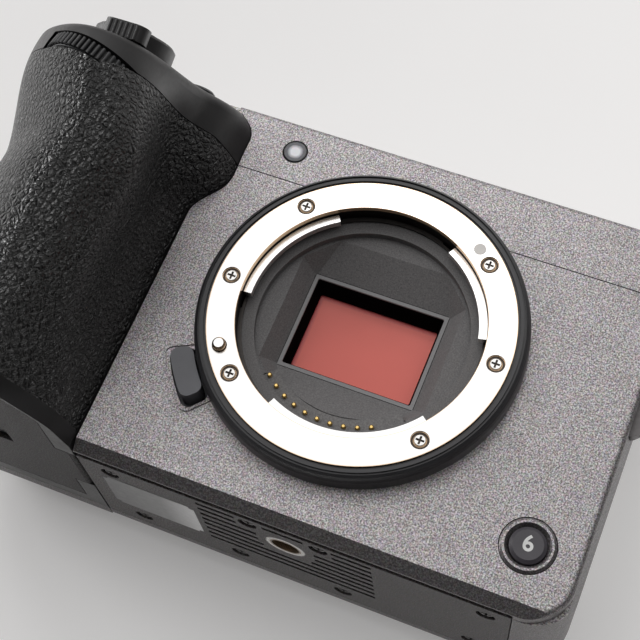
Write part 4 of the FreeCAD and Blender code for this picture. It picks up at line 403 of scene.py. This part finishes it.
SCREW_STEEL = plated_metal("screw_steel", (0.66, 0.65, 0.63), 0.30)
RING_SCREW = recess_shaded_steel("ring_screw_steel", "mount_screws", 0.17 * MM)
BLACK_SCREW = plated_metal("blackened_steel", (0.16, 0.15, 0.15), 0.38, 1500, 0.6)
SPRING = plated_metal("spring_steel", (0.055, 0.050, 0.047), 0.35, 1500, 0.7)
GOLD = plated_metal("gold_contact", (0.86, 0.60, 0.22), 0.22, 4000)
ALUMINIUM = plated_metal("milled_aluminium", (0.70, 0.70, 0.72), 0.35)
TRAP = flocked_black("throat_black", (0.155, 0.150, 0.151))
CONTACT_BLACK = flocked_black("contact_black", (0.160, 0.155, 0.155))
FRAME_GREY = window_rim("window_frame_grey")
LEATHER = pebbled_leather("grip_leather")
SENSOR = coated_sensor("sensor_red")
FILTER = clear_filter("glass_filter", (0.97, 0.225, 0.185), 0.92, 0.12)
SCREEN = screen_glass("screen_glass")
BOARD = board_finish("board_green")
LAMP = lamp_finish("lamp_white")
BEAD = moulded_black("index_white", (0.70, 0.67, 0.64), 0.45, 3000, 0.000004)
PRINT = moulded_black("white_print", (0.74, 0.74, 0.73), 0.5, 3000, 0.000005)
STICKER = sticker_finish("bare_sticker")

FINISHES = {
    SHADED_REAR_PAINT: "rear_cover",
    PAINT: "front_cover top_cover side_cover upper_port_cover lower_port_cover button_bezel",
    SHADED_BASE_PAINT: "base_plate",
    SHADED_DOOR_PAINT: "battery_door",
    HOUSING: "grip_shoulder grip_core card_door power_switch record_button zoom_lever",
    RELEASE: "release_button",
    BUTTON: "front_button",
    RING_BLACK: "mount_trim_ring",
    PLASTIC: "battery_latch front_dial rear_dial control_wheel wheel_button custom_button shutter_button "
             "menu_button monitor_case card_holder port_sockets fan_housing fan_rotor sensor_guide "
             "battery",
    RUBBER: "joystick joystick_gimbal",
    CASTING: "chassis hinge_bracket sensor_carriage",
    STEEL: "mount_ring lock_pin",
    RING_SCREW: "mount_screws",
    SCREW_STEEL: "door_pins monitor_arm",
    BLACK_SCREW: "base_screws accessory_shoe strap_lug",
    SPRING: "mount_spring",
    BUSH_STEEL: "thread_bushes",
    SOCKET_STEEL: "tripod_socket",
    GOLD: "contact_pins",
    ALUMINIUM: "heat_sink",
    TRAP: "throat_baffle",
    CONTACT_BLACK: "contact_block",
    FRAME_GREY: "window_frame",
    LEATHER: "grip_leather",
    SENSOR: "image_sensor",
    FILTER: "sensor_filter",
    SCREEN: "monitor_glass",
    BOARD: "main_board",
    LAMP: "lamp_lens",
}
dressed = set()
for finish_of_nodes, names in FINISHES.items():
    for node_name in names.split():
        piece = NODES[node_name]
        if not piece.material_slots:
            piece.data.materials.append(None)
        for slot in piece.material_slots:
            slot.material = finish_of_nodes
        dressed.add(node_name)
assert dressed == set(NODES), set(NODES) ^ dressed


# Trees for what repeats: ribs round a wheel, ribs along a line, turns of a thread, rows of holes
class Pattern:
    """Geometry tree with named inputs, used through a modifier and then made a plain mesh."""

    def __init__(self, name, **sizes):
        self.tree = bpy.data.node_groups.new(name, "GeometryNodeTree")
        self.tree.interface.new_socket("Geometry", in_out="OUTPUT", socket_type="NodeSocketGeometry")
        self.tree.interface.new_socket("Core", in_out="INPUT", socket_type="NodeSocketGeometry")
        self.tree.interface.new_socket("Finish", in_out="INPUT", socket_type="NodeSocketMaterial")
        for label, value in sizes.items():
            kind = "NodeSocketInt" if isinstance(value, int) else "NodeSocketFloat"
            self.tree.interface.new_socket(label, in_out="INPUT", socket_type=kind).default_value = value
        self.source = self.tree.nodes.new("NodeGroupInput").outputs
        self.sink = self.tree.nodes.new("NodeGroupOutput")

    def add(self, kind, inputs=None, **settings):
        node = self.tree.nodes.new(kind)
        for key, value in settings.items():
            setattr(node, key, value)
        for socket, value in (inputs or {}).items():
            if isinstance(value, bpy.types.NodeSocket):
                self.tree.links.new(value, node.inputs[socket])
            else:
                node.inputs[socket].default_value = value
        return node

    def times(self, first, second):
        return self.add("ShaderNodeMath", {0: first, 1: second}, operation="MULTIPLY").outputs[0]

    def one_less(self, count):
        return self.add("ShaderNodeMath", {0: count, 1: 1.0}, operation="SUBTRACT").outputs[0]

    def place_on(self, points, shape, turned_outwards=False):
        inputs = {"Points": points, "Instance": shape}
        if turned_outwards:
            position = self.add("GeometryNodeInputPosition").outputs[0]
            inputs["Rotation"] = self.add("FunctionNodeAlignRotationToVector", {"Vector": position},
                                          axis="X").outputs["Rotation"]
        return self.add("GeometryNodeInstanceOnPoints", inputs).outputs[0]

    def end(self, *shapes):
        join = self.tree.nodes.new("GeometryNodeJoinGeometry")
        for shape in shapes:
            self.tree.links.new(shape, join.inputs[0])
        real = self.add("GeometryNodeRealizeInstances", {0: join.outputs[0]}).outputs[0]
        coated = self.add("GeometryNodeSetMaterial", {"Geometry": real, "Material": self.source["Finish"]})
        self.tree.links.new(coated.outputs[0], self.sink.inputs[0])
        return self

    def make(self, name, finish, matrix=Matrix.Identity(4), core=None, smooth=40, **sizes):
        """Run the tree on a core mesh and return the result as a plain object in its place."""
        holder = put(name + "_core", core or bpy.data.meshes.new(name + "_core"))
        modifier = holder.modifiers.new("pattern", "NODES")
        modifier.node_group = self.tree
        keys = {item.name: item.identifier for item in self.tree.interface.items_tree
                if item.in_out == "INPUT"}
        modifier[keys["Finish"]] = finish
        for label, value in sizes.items():
            modifier[keys[label.replace("_", " ")]] = value
        holder.update_tag()
        graph = bpy.context.evaluated_depsgraph_get()
        graph.update()
        mesh = bpy.data.meshes.new_from_object(holder.evaluated_get(graph))
        bpy.data.objects.remove(holder)
        mesh.transform(matrix)
        mesh.name = name
        mesh.shade_smooth()
        mesh.set_sharp_from_angle(angle=math.radians(smooth))
        return put(name, mesh)


def ribs_round_wheel():
    """Rounded ribs standing on the rim of a wheel whose axis is Z; the wheel's core comes in."""
    tree = Pattern("ribs_round_wheel", **{"Rim Radius": 0.01, "Ribs": 40, "Rib Radius": 0.0004,
                                          "Rib Length": 0.002, "Lift": 0.0})
    circle = tree.add("GeometryNodeMeshCircle", {"Vertices": tree.source["Ribs"],
                                                 "Radius": tree.source["Rim Radius"]}).outputs["Mesh"]
    lifted = tree.add("ShaderNodeCombineXYZ", {"Z": tree.source["Lift"]}).outputs[0]
    circle = tree.add("GeometryNodeSetPosition", {"Geometry": circle, "Offset": lifted}).outputs[0]
    rib = tree.add("GeometryNodeMeshCylinder", {"Vertices": 10, "Radius": tree.source["Rib Radius"],
                                                "Depth": tree.source["Rib Length"]}).outputs["Mesh"]
    return tree.end(tree.source["Core"], tree.place_on(circle, rib, turned_outwards=True))


def ribs_along_line():
    """Rounded upright ribs side by side along X, centred on the origin."""
    tree = Pattern("ribs_along_line", **{"Ribs": 7, "Pitch": 0.001, "Rib Radius": 0.0004,
                                         "Rib Length": 0.003})
    step = tree.add("ShaderNodeCombineXYZ", {"X": tree.source["Pitch"]}).outputs[0]
    half = tree.times(tree.times(tree.one_less(tree.source["Ribs"]), tree.source["Pitch"]), -0.5)
    start = tree.add("ShaderNodeCombineXYZ", {"X": half}).outputs[0]
    line = tree.add("GeometryNodeMeshLine", {"Count": tree.source["Ribs"], "Start Location": start,
                                             "Offset": step}, mode="OFFSET").outputs[0]
    rib = tree.add("GeometryNodeMeshCylinder", {"Vertices": 12, "Radius": tree.source["Rib Radius"],
                                                "Depth": tree.source["Rib Length"]}).outputs["Mesh"]
    return tree.end(tree.place_on(line, rib))


def thread_turns():
    """Ridge of a screw thread winding up inside a bore along Z."""
    tree = Pattern("thread_turns", **{"Bore": 0.0027, "Turns": 4.0, "Depth": 0.005, "Ridge": 0.0004})
    spiral = tree.add("GeometryNodeCurveSpiral", {"Resolution": 40, "Rotations": tree.source["Turns"],
                                                  "Start Radius": tree.source["Bore"],
                                                  "End Radius": tree.source["Bore"],
                                                  "Height": tree.source["Depth"]}).outputs[0]
    ridge = tree.add("GeometryNodeCurvePrimitiveCircle", {"Resolution": 4, "Radius": tree.source["Ridge"]})
    wound = tree.add("GeometryNodeCurveToMesh", {"Curve": spiral, "Profile Curve": ridge.outputs[0],
                                                 "Fill Caps": True})
    return tree.end(wound.outputs[0])


def rows_of_holes():
    """Grid of small dark discs for perforations, in the XY plane."""
    tree = Pattern("rows_of_holes", **{"Columns": 5, "Rows": 2, "Pitch": 0.0014, "Hole": 0.0004})
    wide, deep = [tree.times(tree.one_less(tree.source[count]), tree.source["Pitch"])
                  for count in ("Columns", "Rows")]
    grid = tree.add("GeometryNodeMeshGrid", {
        "Size X": wide, "Size Y": deep, "Vertices X": tree.source["Columns"],
        "Vertices Y": tree.source["Rows"]}).outputs["Mesh"]
    disc = tree.add("GeometryNodeMeshCylinder", {"Vertices": 16, "Radius": tree.source["Hole"],
                                                 "Depth": 0.00006}).outputs["Mesh"]
    return tree.end(tree.place_on(grid, disc))


def cross_screws():
    """Low domed screw with a cross recess, its seat below, on every point that comes in; Z is outwards."""
    tree = Pattern("cross_screws", **{"Head Radius": 0.0013, "Head Height": 0.0004, "Recess Reach": 0.0008,
                                      "Recess Width": 0.0003, "Seat Radius": 0.0016, "Seat Depth": 0.001})
    head = tree.add("GeometryNodeMeshCone", {
        "Vertices": 28, "Radius Top": tree.times(tree.source["Head Radius"], 0.74),
        "Radius Bottom": tree.source["Head Radius"], "Depth": tree.source["Head Height"]}).outputs["Mesh"]
    long, wide = tree.times(tree.source["Recess Reach"], 2.0), tree.source["Recess Width"]
    deep = tree.times(tree.source["Head Height"], 2.1)
    lift = tree.add("ShaderNodeCombineXYZ", {"Z": tree.source["Head Height"]}).outputs[0]
    for span_x, span_y in ((long, wide), (wide, long)):
        bar_size = tree.add("ShaderNodeCombineXYZ", {"X": span_x, "Y": span_y, "Z": deep}).outputs[0]
        bar = tree.add("GeometryNodeMeshCube", {"Size": bar_size}).outputs["Mesh"]
        bar = tree.add("GeometryNodeTransform", {"Geometry": bar, "Translation": lift}).outputs[0]
        head = tree.add("GeometryNodeMeshBoolean", {"Mesh 1": head, "Mesh 2": bar}, operation="DIFFERENCE",
                        solver="EXACT").outputs["Mesh"]
    seat = tree.add("GeometryNodeMeshCylinder", {"Vertices": 28, "Radius": tree.source["Seat Radius"],
                                                 "Depth": tree.source["Seat Depth"]}).outputs["Mesh"]
    sink = tree.add("ShaderNodeCombineXYZ", {"Z": tree.times(tree.source["Seat Depth"], -0.499)}).outputs[0]
    seat = tree.add("GeometryNodeTransform", {"Geometry": seat, "Translation": sink}).outputs[0]
    screw = tree.tree.nodes.new("GeometryNodeJoinGeometry")
    tree.tree.links.new(head, screw.inputs[0])
    tree.tree.links.new(seat, screw.inputs[0])
    return tree.end(tree.place_on(tree.source["Core"], screw.outputs[0]))


WHEEL_RIBS = ribs_round_wheel()
SCREWS = cross_screws()
LINE_RIBS = ribs_along_line()
THREAD = thread_turns()
HOLES = rows_of_holes()


def lathe(name, profile, steps=96):
    """Closed ring mesh from a profile of (radius, height) turned about Z."""
    mesh = bpy.data.meshes.new(name)
    points, faces = [], []
    count = len(profile)
    for k in range(steps):
        angle = 2 * math.pi * k / steps
        points += [(r * math.cos(angle), r * math.sin(angle), z) for r, z in profile]
    for k in range(steps):
        near, far = k * count, (k + 1) % steps * count
        faces += [(near + j, far + j, far + (j + 1) % count, near + (j + 1) % count) for j in range(count)]
    mesh.from_pydata(points, [], faces)
    shape = bmesh.new()
    shape.from_mesh(mesh)
    bmesh.ops.recalc_face_normals(shape, faces=shape.faces)
    shape.to_mesh(mesh)
    shape.free()
    return mesh


def ring_profile(bore, rim, low, high, corner):
    return [(bore, low), (rim - corner, low), (rim, low + corner), (rim, high - corner), (rim - corner, high),
            (bore, high)]


def upright_to(direction, at, spin=0.0):
    """Matrix that takes Z to a direction and the origin to a place."""
    return (Matrix.Translation(at) @ Vector(direction).to_track_quat("Z", "Y").to_matrix().to_4x4()
            @ Matrix.Rotation(spin, 4, "Z"))


JOINTS = {joint["name"]: joint for joint in frame["joints"]}


def joint_matrix(name, shift=0.0):
    joint = JOINTS[name]
    axis = Vector(joint["axis"]).normalized()
    return upright_to(axis, Vector(joint["pos_m"]) + axis * shift)


# Dials with their ribs
DIAL_RADIUS, DIAL_HALF = 10.65 * MM, 1.3 * MM
DIAL_BORE, DIAL_CORNER, RIB_SINK = 2.2 * MM, 0.2 * MM, 0.45 * MM
profile = ring_profile(DIAL_BORE, DIAL_RADIUS - 0.75 * MM, -DIAL_HALF, DIAL_HALF, DIAL_CORNER)
front_dial = WHEEL_RIBS.make("front_dial_wheel", PLASTIC, joint_matrix("front_dial_spin"),
                             lathe("front_dial_wheel", profile), Rim_Radius=DIAL_RADIUS - RIB_SINK, Ribs=60,
                             Rib_Radius=0.38 * MM, Rib_Length=2 * DIAL_HALF - 0.2 * MM)
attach(front_dial, "front_dial")
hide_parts("front_dial")

low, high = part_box("rear_dial")
middle = (low + high) / 2
rear_radius, rear_half = (high.x - low.x) / 2, (high.z - low.z) / 2
profile = ring_profile(DIAL_BORE, rear_radius - 0.55 * MM, -rear_half, rear_half, DIAL_CORNER)
rear_dial = WHEEL_RIBS.make("rear_dial_wheel", PLASTIC, Matrix.Translation(middle),
                            lathe("rear_dial_wheel", profile), Rim_Radius=rear_radius - RIB_SINK, Ribs=52,
                            Rib_Radius=0.42 * MM, Rib_Length=2 * rear_half - 0.3 * MM)
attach(rear_dial, "rear_dial")
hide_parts("rear_dial")

low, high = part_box("control_wheel")
wheel_radius = (high.x - low.x) / 2
wheel_face = ((low.x + high.x) / 2, high.y - 0.8 * MM, (low.z + high.z) / 2)
wheel_ribs = WHEEL_RIBS.make("control_wheel_ribs", PLASTIC, upright_to((0, 1, 0), wheel_face),
                             Rim_Radius=wheel_radius - 0.75 * MM, Ribs=64, Rib_Radius=0.26 * MM,
                             Rib_Length=1.2 * MM)
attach(wheel_ribs, "control_wheel")

# Screws with cross recesses
SCREW_REACH = 3.8 * MM


def screw_spots(node, outward):
    """Outer middle of each screw of a node, read from its mesh."""
    groups = []
    for vertex in NODES[node].data.vertices:
        at = NODES[node].matrix_world @ vertex.co
        flat = at - outward * at.dot(outward)
        for group in groups:
            if (group[0][0] - flat).length < SCREW_REACH:
                group.append((flat, at.dot(outward)))
                break
        else:
            groups.append([(flat, at.dot(outward))])
    spots = []
    for group in groups:
        sides = [[point[k] for point, height in group] for k in range(3)]
        middle = Vector([(min(side) + max(side)) / 2 for side in sides])
        spots.append(middle + outward * max(height for point, height in group))
    return spots


def dress_screws(node, outward, finish, slot, sink, **sizes):
    turn = upright_to(outward, (0, 0, 0))
    points = bpy.data.meshes.new(node + "_points")
    spots = [turn.inverted() @ (spot - outward * sink) for spot in screw_spots(node, outward)]
    points.from_pydata(spots, [], [])
    heads = SCREWS.make(node + "_heads", finish, turn, points, smooth=25, **sizes)
    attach(heads, "camera_body")
    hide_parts(node)


dress_screws("mount_screws", Vector((0, -1, 0)), RING_SCREW, "screw_steel", sink=0.25 * MM,
             Head_Radius=1.32 * MM, Head_Height=0.40 * MM, Recess_Reach=0.80 * MM, Recess_Width=0.40 * MM,
             Seat_Radius=1.62 * MM, Seat_Depth=1.0 * MM)
dress_screws("base_screws", Vector((0, 0, -1)), BLACK_SCREW, "screw_steel", sink=0.40 * MM,
             Head_Radius=1.60 * MM, Head_Height=0.40 * MM, Recess_Reach=0.95 * MM, Recess_Width=0.42 * MM,
             Seat_Radius=1.70 * MM, Seat_Depth=1.0 * MM)

# Ribs on the zoom lever's tab
lever = JOINTS["zoom_turn"]
lever_axis = Vector(lever["axis"]).normalized()
forward = lever_axis.cross(Vector((1, 0, 0))).normalized()
if forward.y > 0:
    forward = -forward
TAB_REACH, TAB_LIFT, TAB_ASIDE = 10.45 * MM, 2.0 * MM, 1.3 * MM
tab_place = (Vector(lever["pos_m"]) + forward * TAB_REACH + lever_axis * TAB_LIFT
             + Vector((TAB_ASIDE, 0, 0)))
tab_turn = Matrix((Vector((1, 0, 0)), lever_axis.cross(Vector((1, 0, 0))), lever_axis)).transposed().to_4x4()
tab_ribs = LINE_RIBS.make("zoom_tab_ribs", HOUSING, Matrix.Translation(tab_place) @ tab_turn, Ribs=6,
                          Pitch=1.05 * MM, Rib_Radius=0.36 * MM, Rib_Length=2.6 * MM)
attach(tab_ribs, "zoom_lever")

# Threads of the tripod socket and of the bushes
THREAD_PITCH, THREAD_START, THREAD_ENDS = 1.27 * MM, 0.5 * MM, 0.9 * MM
for mount in frame["record"]["mounts"]:
    if mount["kind"] != "threaded_hole":
        continue
    length = mount["dims"]["length_mm"] * MM - THREAD_ENDS
    out = Vector(mount["axis"])
    place = upright_to(-out, Vector(mount["pos_m"]) - out * THREAD_START)
    turns = THREAD.make(mount["name"] + "_thread", THREAD_STEEL, place, Bore=2.74 * MM,
                        Turns=length / THREAD_PITCH, Depth=length, Ridge=0.34 * MM, smooth=60)
    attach(turns, "camera_body")

# Microphone holes in the roof
ROOF, MICROPHONE_X, MICROPHONE_Y = 77.8 * MM, 9.5 * MM, -7.5 * MM
for side, across in (("left", -MICROPHONE_X), ("right", MICROPHONE_X)):
    holes = HOLES.make(f"microphone_holes_{side}", TRAP, Matrix.Translation((across, MICROPHONE_Y, ROOF)),
                       Columns=4, Rows=2, Pitch=1.3 * MM, Hole=0.36 * MM)
    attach(holes, "camera_body")


def low_disc(name, finish, centre, outward, radius, height, corner):
    """Thin round inlay with a rounded edge, standing on a surface."""
    pole = 0.0001 * MM
    core = lathe(name, [(pole, 0), (radius, 0), (radius, height - corner), (radius - corner, height),
                        (pole, height)], 40)
    core.materials.append(finish)
    core.transform(upright_to(outward, centre))
    core.shade_smooth()
    core.set_sharp_from_angle(angle=math.radians(35))
    return put(name, core)


BEAD_X, BEAD_Z = 15.5 * MM, 60.7 * MM
bead = low_disc("index_bead", BEAD, Vector((BEAD_X, FLANGE_Y, BEAD_Z)), (0, -1, 0), radius=1.15 * MM,
                height=0.08 * MM, corner=0.05 * MM)
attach(bead, "camera_body")

# Plain figure on the front button
low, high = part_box("front_button")
figure_curve = bpy.data.curves.new("button_figure", "FONT")
figure_curve.body = "6"
figure_curve.size = 4.0 * MM
figure_curve.offset = 0.085 * MM
figure_curve.extrude = 0.03 * MM
figure_curve.align_x = "CENTER"
figure_curve.align_y = "CENTER"
holder = put("button_figure_curve", figure_curve)
bpy.context.view_layer.update()
graph = bpy.context.evaluated_depsgraph_get()
figure_mesh = bpy.data.meshes.new_from_object(holder.evaluated_get(graph))
bpy.data.objects.remove(holder)
FIGURE_SINK, FIGURE_TURN = 0.02 * MM, math.radians(9)
count = len(figure_mesh.vertices)
middle = Vector([sum(vertex.co[k] for vertex in figure_mesh.vertices) / count for k in range(2)] + [0])
cap = ((low.x + high.x) / 2, low.y + FIGURE_SINK, (low.z + high.z) / 2)
figure_mesh.transform(Matrix.Translation(cap) @ Matrix.Rotation(math.radians(90), 4, "X")
                      @ Matrix.Rotation(FIGURE_TURN, 4, "Z") @ Matrix.Translation(-middle))
figure_mesh.materials.clear()
figure_mesh.materials.append(PRINT)
figure = put("button_figure", figure_mesh)
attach(figure, "front_button")

# Bare sticker on the base
STICKER_WIDE, STICKER_DEEP, STICKER_THICK, STICKER_CORNER = 18.7 * MM, 15.2 * MM, 0.05 * MM, 1.0 * MM
STICKER_PLACE = (-27.65 * MM, 5.4 * MM, -0.045 * MM)
sticker_mesh = bpy.data.meshes.new("base_sticker")
shape = bmesh.new()
bmesh.ops.create_grid(shape, x_segments=1, y_segments=1, size=0.5)
bmesh.ops.scale(shape, vec=(STICKER_WIDE, STICKER_DEEP, 1), verts=shape.verts)
bmesh.ops.bevel(shape, geom=shape.verts[:], offset=STICKER_CORNER, segments=5, affect="VERTICES")
raised = bmesh.ops.extrude_face_region(shape, geom=shape.faces[:])
raised = [item for item in raised["geom"] if isinstance(item, bmesh.types.BMVert)]
bmesh.ops.translate(shape, vec=(0, 0, STICKER_THICK), verts=raised)
bmesh.ops.recalc_face_normals(shape, faces=shape.faces)
bmesh.ops.translate(shape, vec=STICKER_PLACE, verts=shape.verts)
shape.to_mesh(sticker_mesh)
shape.free()
sticker_mesh.materials.append(STICKER)
sticker = put("base_sticker", sticker_mesh)
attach(sticker, "camera_body")


# Camera at the photograph's viewing angle
CAMERA_PLACE = Vector((51.6, -256.3, -60.2)) * MM
IMAGE_RIGHT = Vector((0.9237, 0.0730, 0.3760))
IMAGE_DOWN = Vector((0.3125, 0.4239, -0.8501))
VIEW_LINE = Vector((-0.2214, 0.9028, 0.3688))
camera = put("camera", bpy.data.cameras.new("camera"))
camera.data.sensor_width = 36
camera.data.lens = 81.74
camera.data.clip_start = 0.01
turn = Matrix((IMAGE_RIGHT, -IMAGE_DOWN, -VIEW_LINE)).transposed()
camera.matrix_world = Matrix.Translation(CAMERA_PLACE) @ turn.to_4x4()
bpy.context.scene.camera = camera


# Stage: a table behind the camera's back, a floor under its base, soft lamps
GLOW_REACH, GLOW_LEFT, GLOW_RIGHT, GLOW = 100 * MM, 0.52, 1.30, 0.30


def stage_finish(name, colour, mirrored):
    """Pale surface that shows only on its front side, to the eye and in reflections; it blocks no light."""
    sheet = Finish(name, Roughness=0.85, Specular_IOR_Level=0.1)
    grain = sheet.noise(30, 2.0)
    tone = sheet.mix(sheet.span(grain, 0.3, 0.7), scaled(colour, 0.99), colour)
    across = sheet.span(sheet.parts()["X"], -GLOW_REACH, GLOW_REACH)
    glow = sheet.mix(across, scaled(colour, GLOW_LEFT), scaled(colour, GLOW_RIGHT))
    sheet.give(Base_Color=tone, Emission_Color=glow, Emission_Strength=GLOW)
    path = sheet.add("ShaderNodeLightPath")
    facing = sheet.add("ShaderNodeNewGeometry").outputs["Backfacing"]
    sight = sheet.sum("MAXIMUM", path.outputs["Is Camera Ray"],
                      sheet.sum("MULTIPLY", path.outputs["Is Glossy Ray"], float(mirrored)))
    seen = sheet.sum("MULTIPLY", sight, sheet.sum("SUBTRACT", 1.0, facing))
    clear = sheet.add("ShaderNodeBsdfTransparent").outputs[0]
    mixed = sheet.add("ShaderNodeMixShader", {0: seen, 1: clear, 2: sheet.shader.outputs[0]})
    output = next(n for n in sheet.tree.nodes if n.type == "OUTPUT_MATERIAL")
    sheet.tree.links.new(mixed.outputs[0], output.inputs["Surface"])
    return sheet.material


def stage_sheet(name, corners, colour, mirrored=False):
    mesh = bpy.data.meshes.new(name)
    mesh.from_pydata([Vector(c) for c in corners], [], [range(len(corners))])
    mesh.materials.append(stage_finish(name, colour, mirrored))
    sheet = put(name, mesh)


TABLE_Y, FLOOR_Z, PALE_GREY = 36.8 * MM, -0.6 * MM, (0.80, 0.79, 0.785)
WIDE_SQUARE = [(-3, -3), (3, -3), (3, 3), (-3, 3)]
stage_sheet("table", [(x, TABLE_Y, z) for x, z in WIDE_SQUARE], PALE_GREY, mirrored=True)
stage_sheet("floor", [(x, y, FLOOR_Z) for x, y in WIDE_SQUARE], PALE_GREY)


def soft_lamp(name, place, aim, size, power):
    data = bpy.data.lights.new(name, "AREA")
    data.shape, data.size, data.energy = "DISK", size, power
    lamp = put(name, data)
    lamp.location = place
    lamp.rotation_mode = "QUATERNION"
    lamp.rotation_quaternion = (Vector(aim) - Vector(place)).to_track_quat("-Z", "Y")


soft_lamp("key_lamp", (-0.75, -0.70, 0.62), (0, 0, 0.04), 0.30, 1.0)
soft_lamp("window_lamp", (-1.00, -0.62, 0.16), (-0.05, -0.02, 0.04), 0.50, 3.2)
soft_lamp("front_lamp", (-0.20, -1.00, 0.72), (-0.02, 0, 0.03), 0.40, 1.0)
soft_lamp("side_lamp", (-1.20, 0.00, 0.10), (-0.06, -0.02, 0.05), 0.42, 6.5)
soft_lamp("back_lamp", (0.5, 0.9, 0.7), (0, 0, 0.04), 0.7, 2.5)

# Studio room: pale and bright before the lens face, dim towards the table and the floor
world = bpy.data.worlds.new("studio")
bpy.context.scene.world = world
world.use_nodes = True
room = world.node_tree
background = room.nodes["Background"]


def room_node(kind, inputs, **settings):
    node = room.nodes.new(kind)
    for key, value in settings.items():
        setattr(node, key, value)
    for socket, value in inputs.items():
        if isinstance(value, bpy.types.NodeSocket):
            room.links.new(value, node.inputs[socket])
        else:
            node.inputs[socket].default_value = value
    return node


towards = room_node("ShaderNodeTexCoord", {}).outputs["Generated"]


def soft_field(direction, low, high, strength):
    """Brightness that rises smoothly towards a direction."""
    level = room_node("ShaderNodeVectorMath", {0: towards, 1: Vector(direction).normalized()},
                      operation="DOT_PRODUCT").outputs["Value"]
    span = {"Value": level, "From Min": low, "From Max": high, "To Max": strength}
    return room_node("ShaderNodeMapRange", span, interpolation_type="SMOOTHSTEP").outputs["Result"]


ROOM_FLOOR_LIGHT, ROOM_SEEN = 0.06, 0.84
wide_field = soft_field((-0.22, -0.90, 0.38), 0.10, 0.92, 0.78)
window_field = soft_field((-0.22, -0.965, 0.14), 0.90, 1.0, 0.42)
above_table = soft_field((0, 0, 1), -0.40, 0.02, 1.0)
both = room_node("ShaderNodeMath", {0: wide_field, 1: window_field}, operation="ADD").outputs[0]
lit = room_node("ShaderNodeMath", {0: both, 1: above_table, 2: ROOM_FLOOR_LIGHT}, operation="MULTIPLY_ADD")
path = room_node("ShaderNodeLightPath", {}).outputs
seen = room_node("ShaderNodeMath", {0: path["Is Camera Ray"], 1: path["Is Transmission Ray"]},
                 operation="MAXIMUM").outputs[0]
strength = room_node("ShaderNodeMix", {0: seen, 2: lit.outputs[0], 3: ROOM_SEEN}, data_type="FLOAT")
room.links.new(strength.outputs[0], background.inputs["Strength"])
background.inputs["Color"].default_value = (1.0, 0.995, 0.99, 1)
bpy.context.scene.view_settings.view_transform = "Standard"
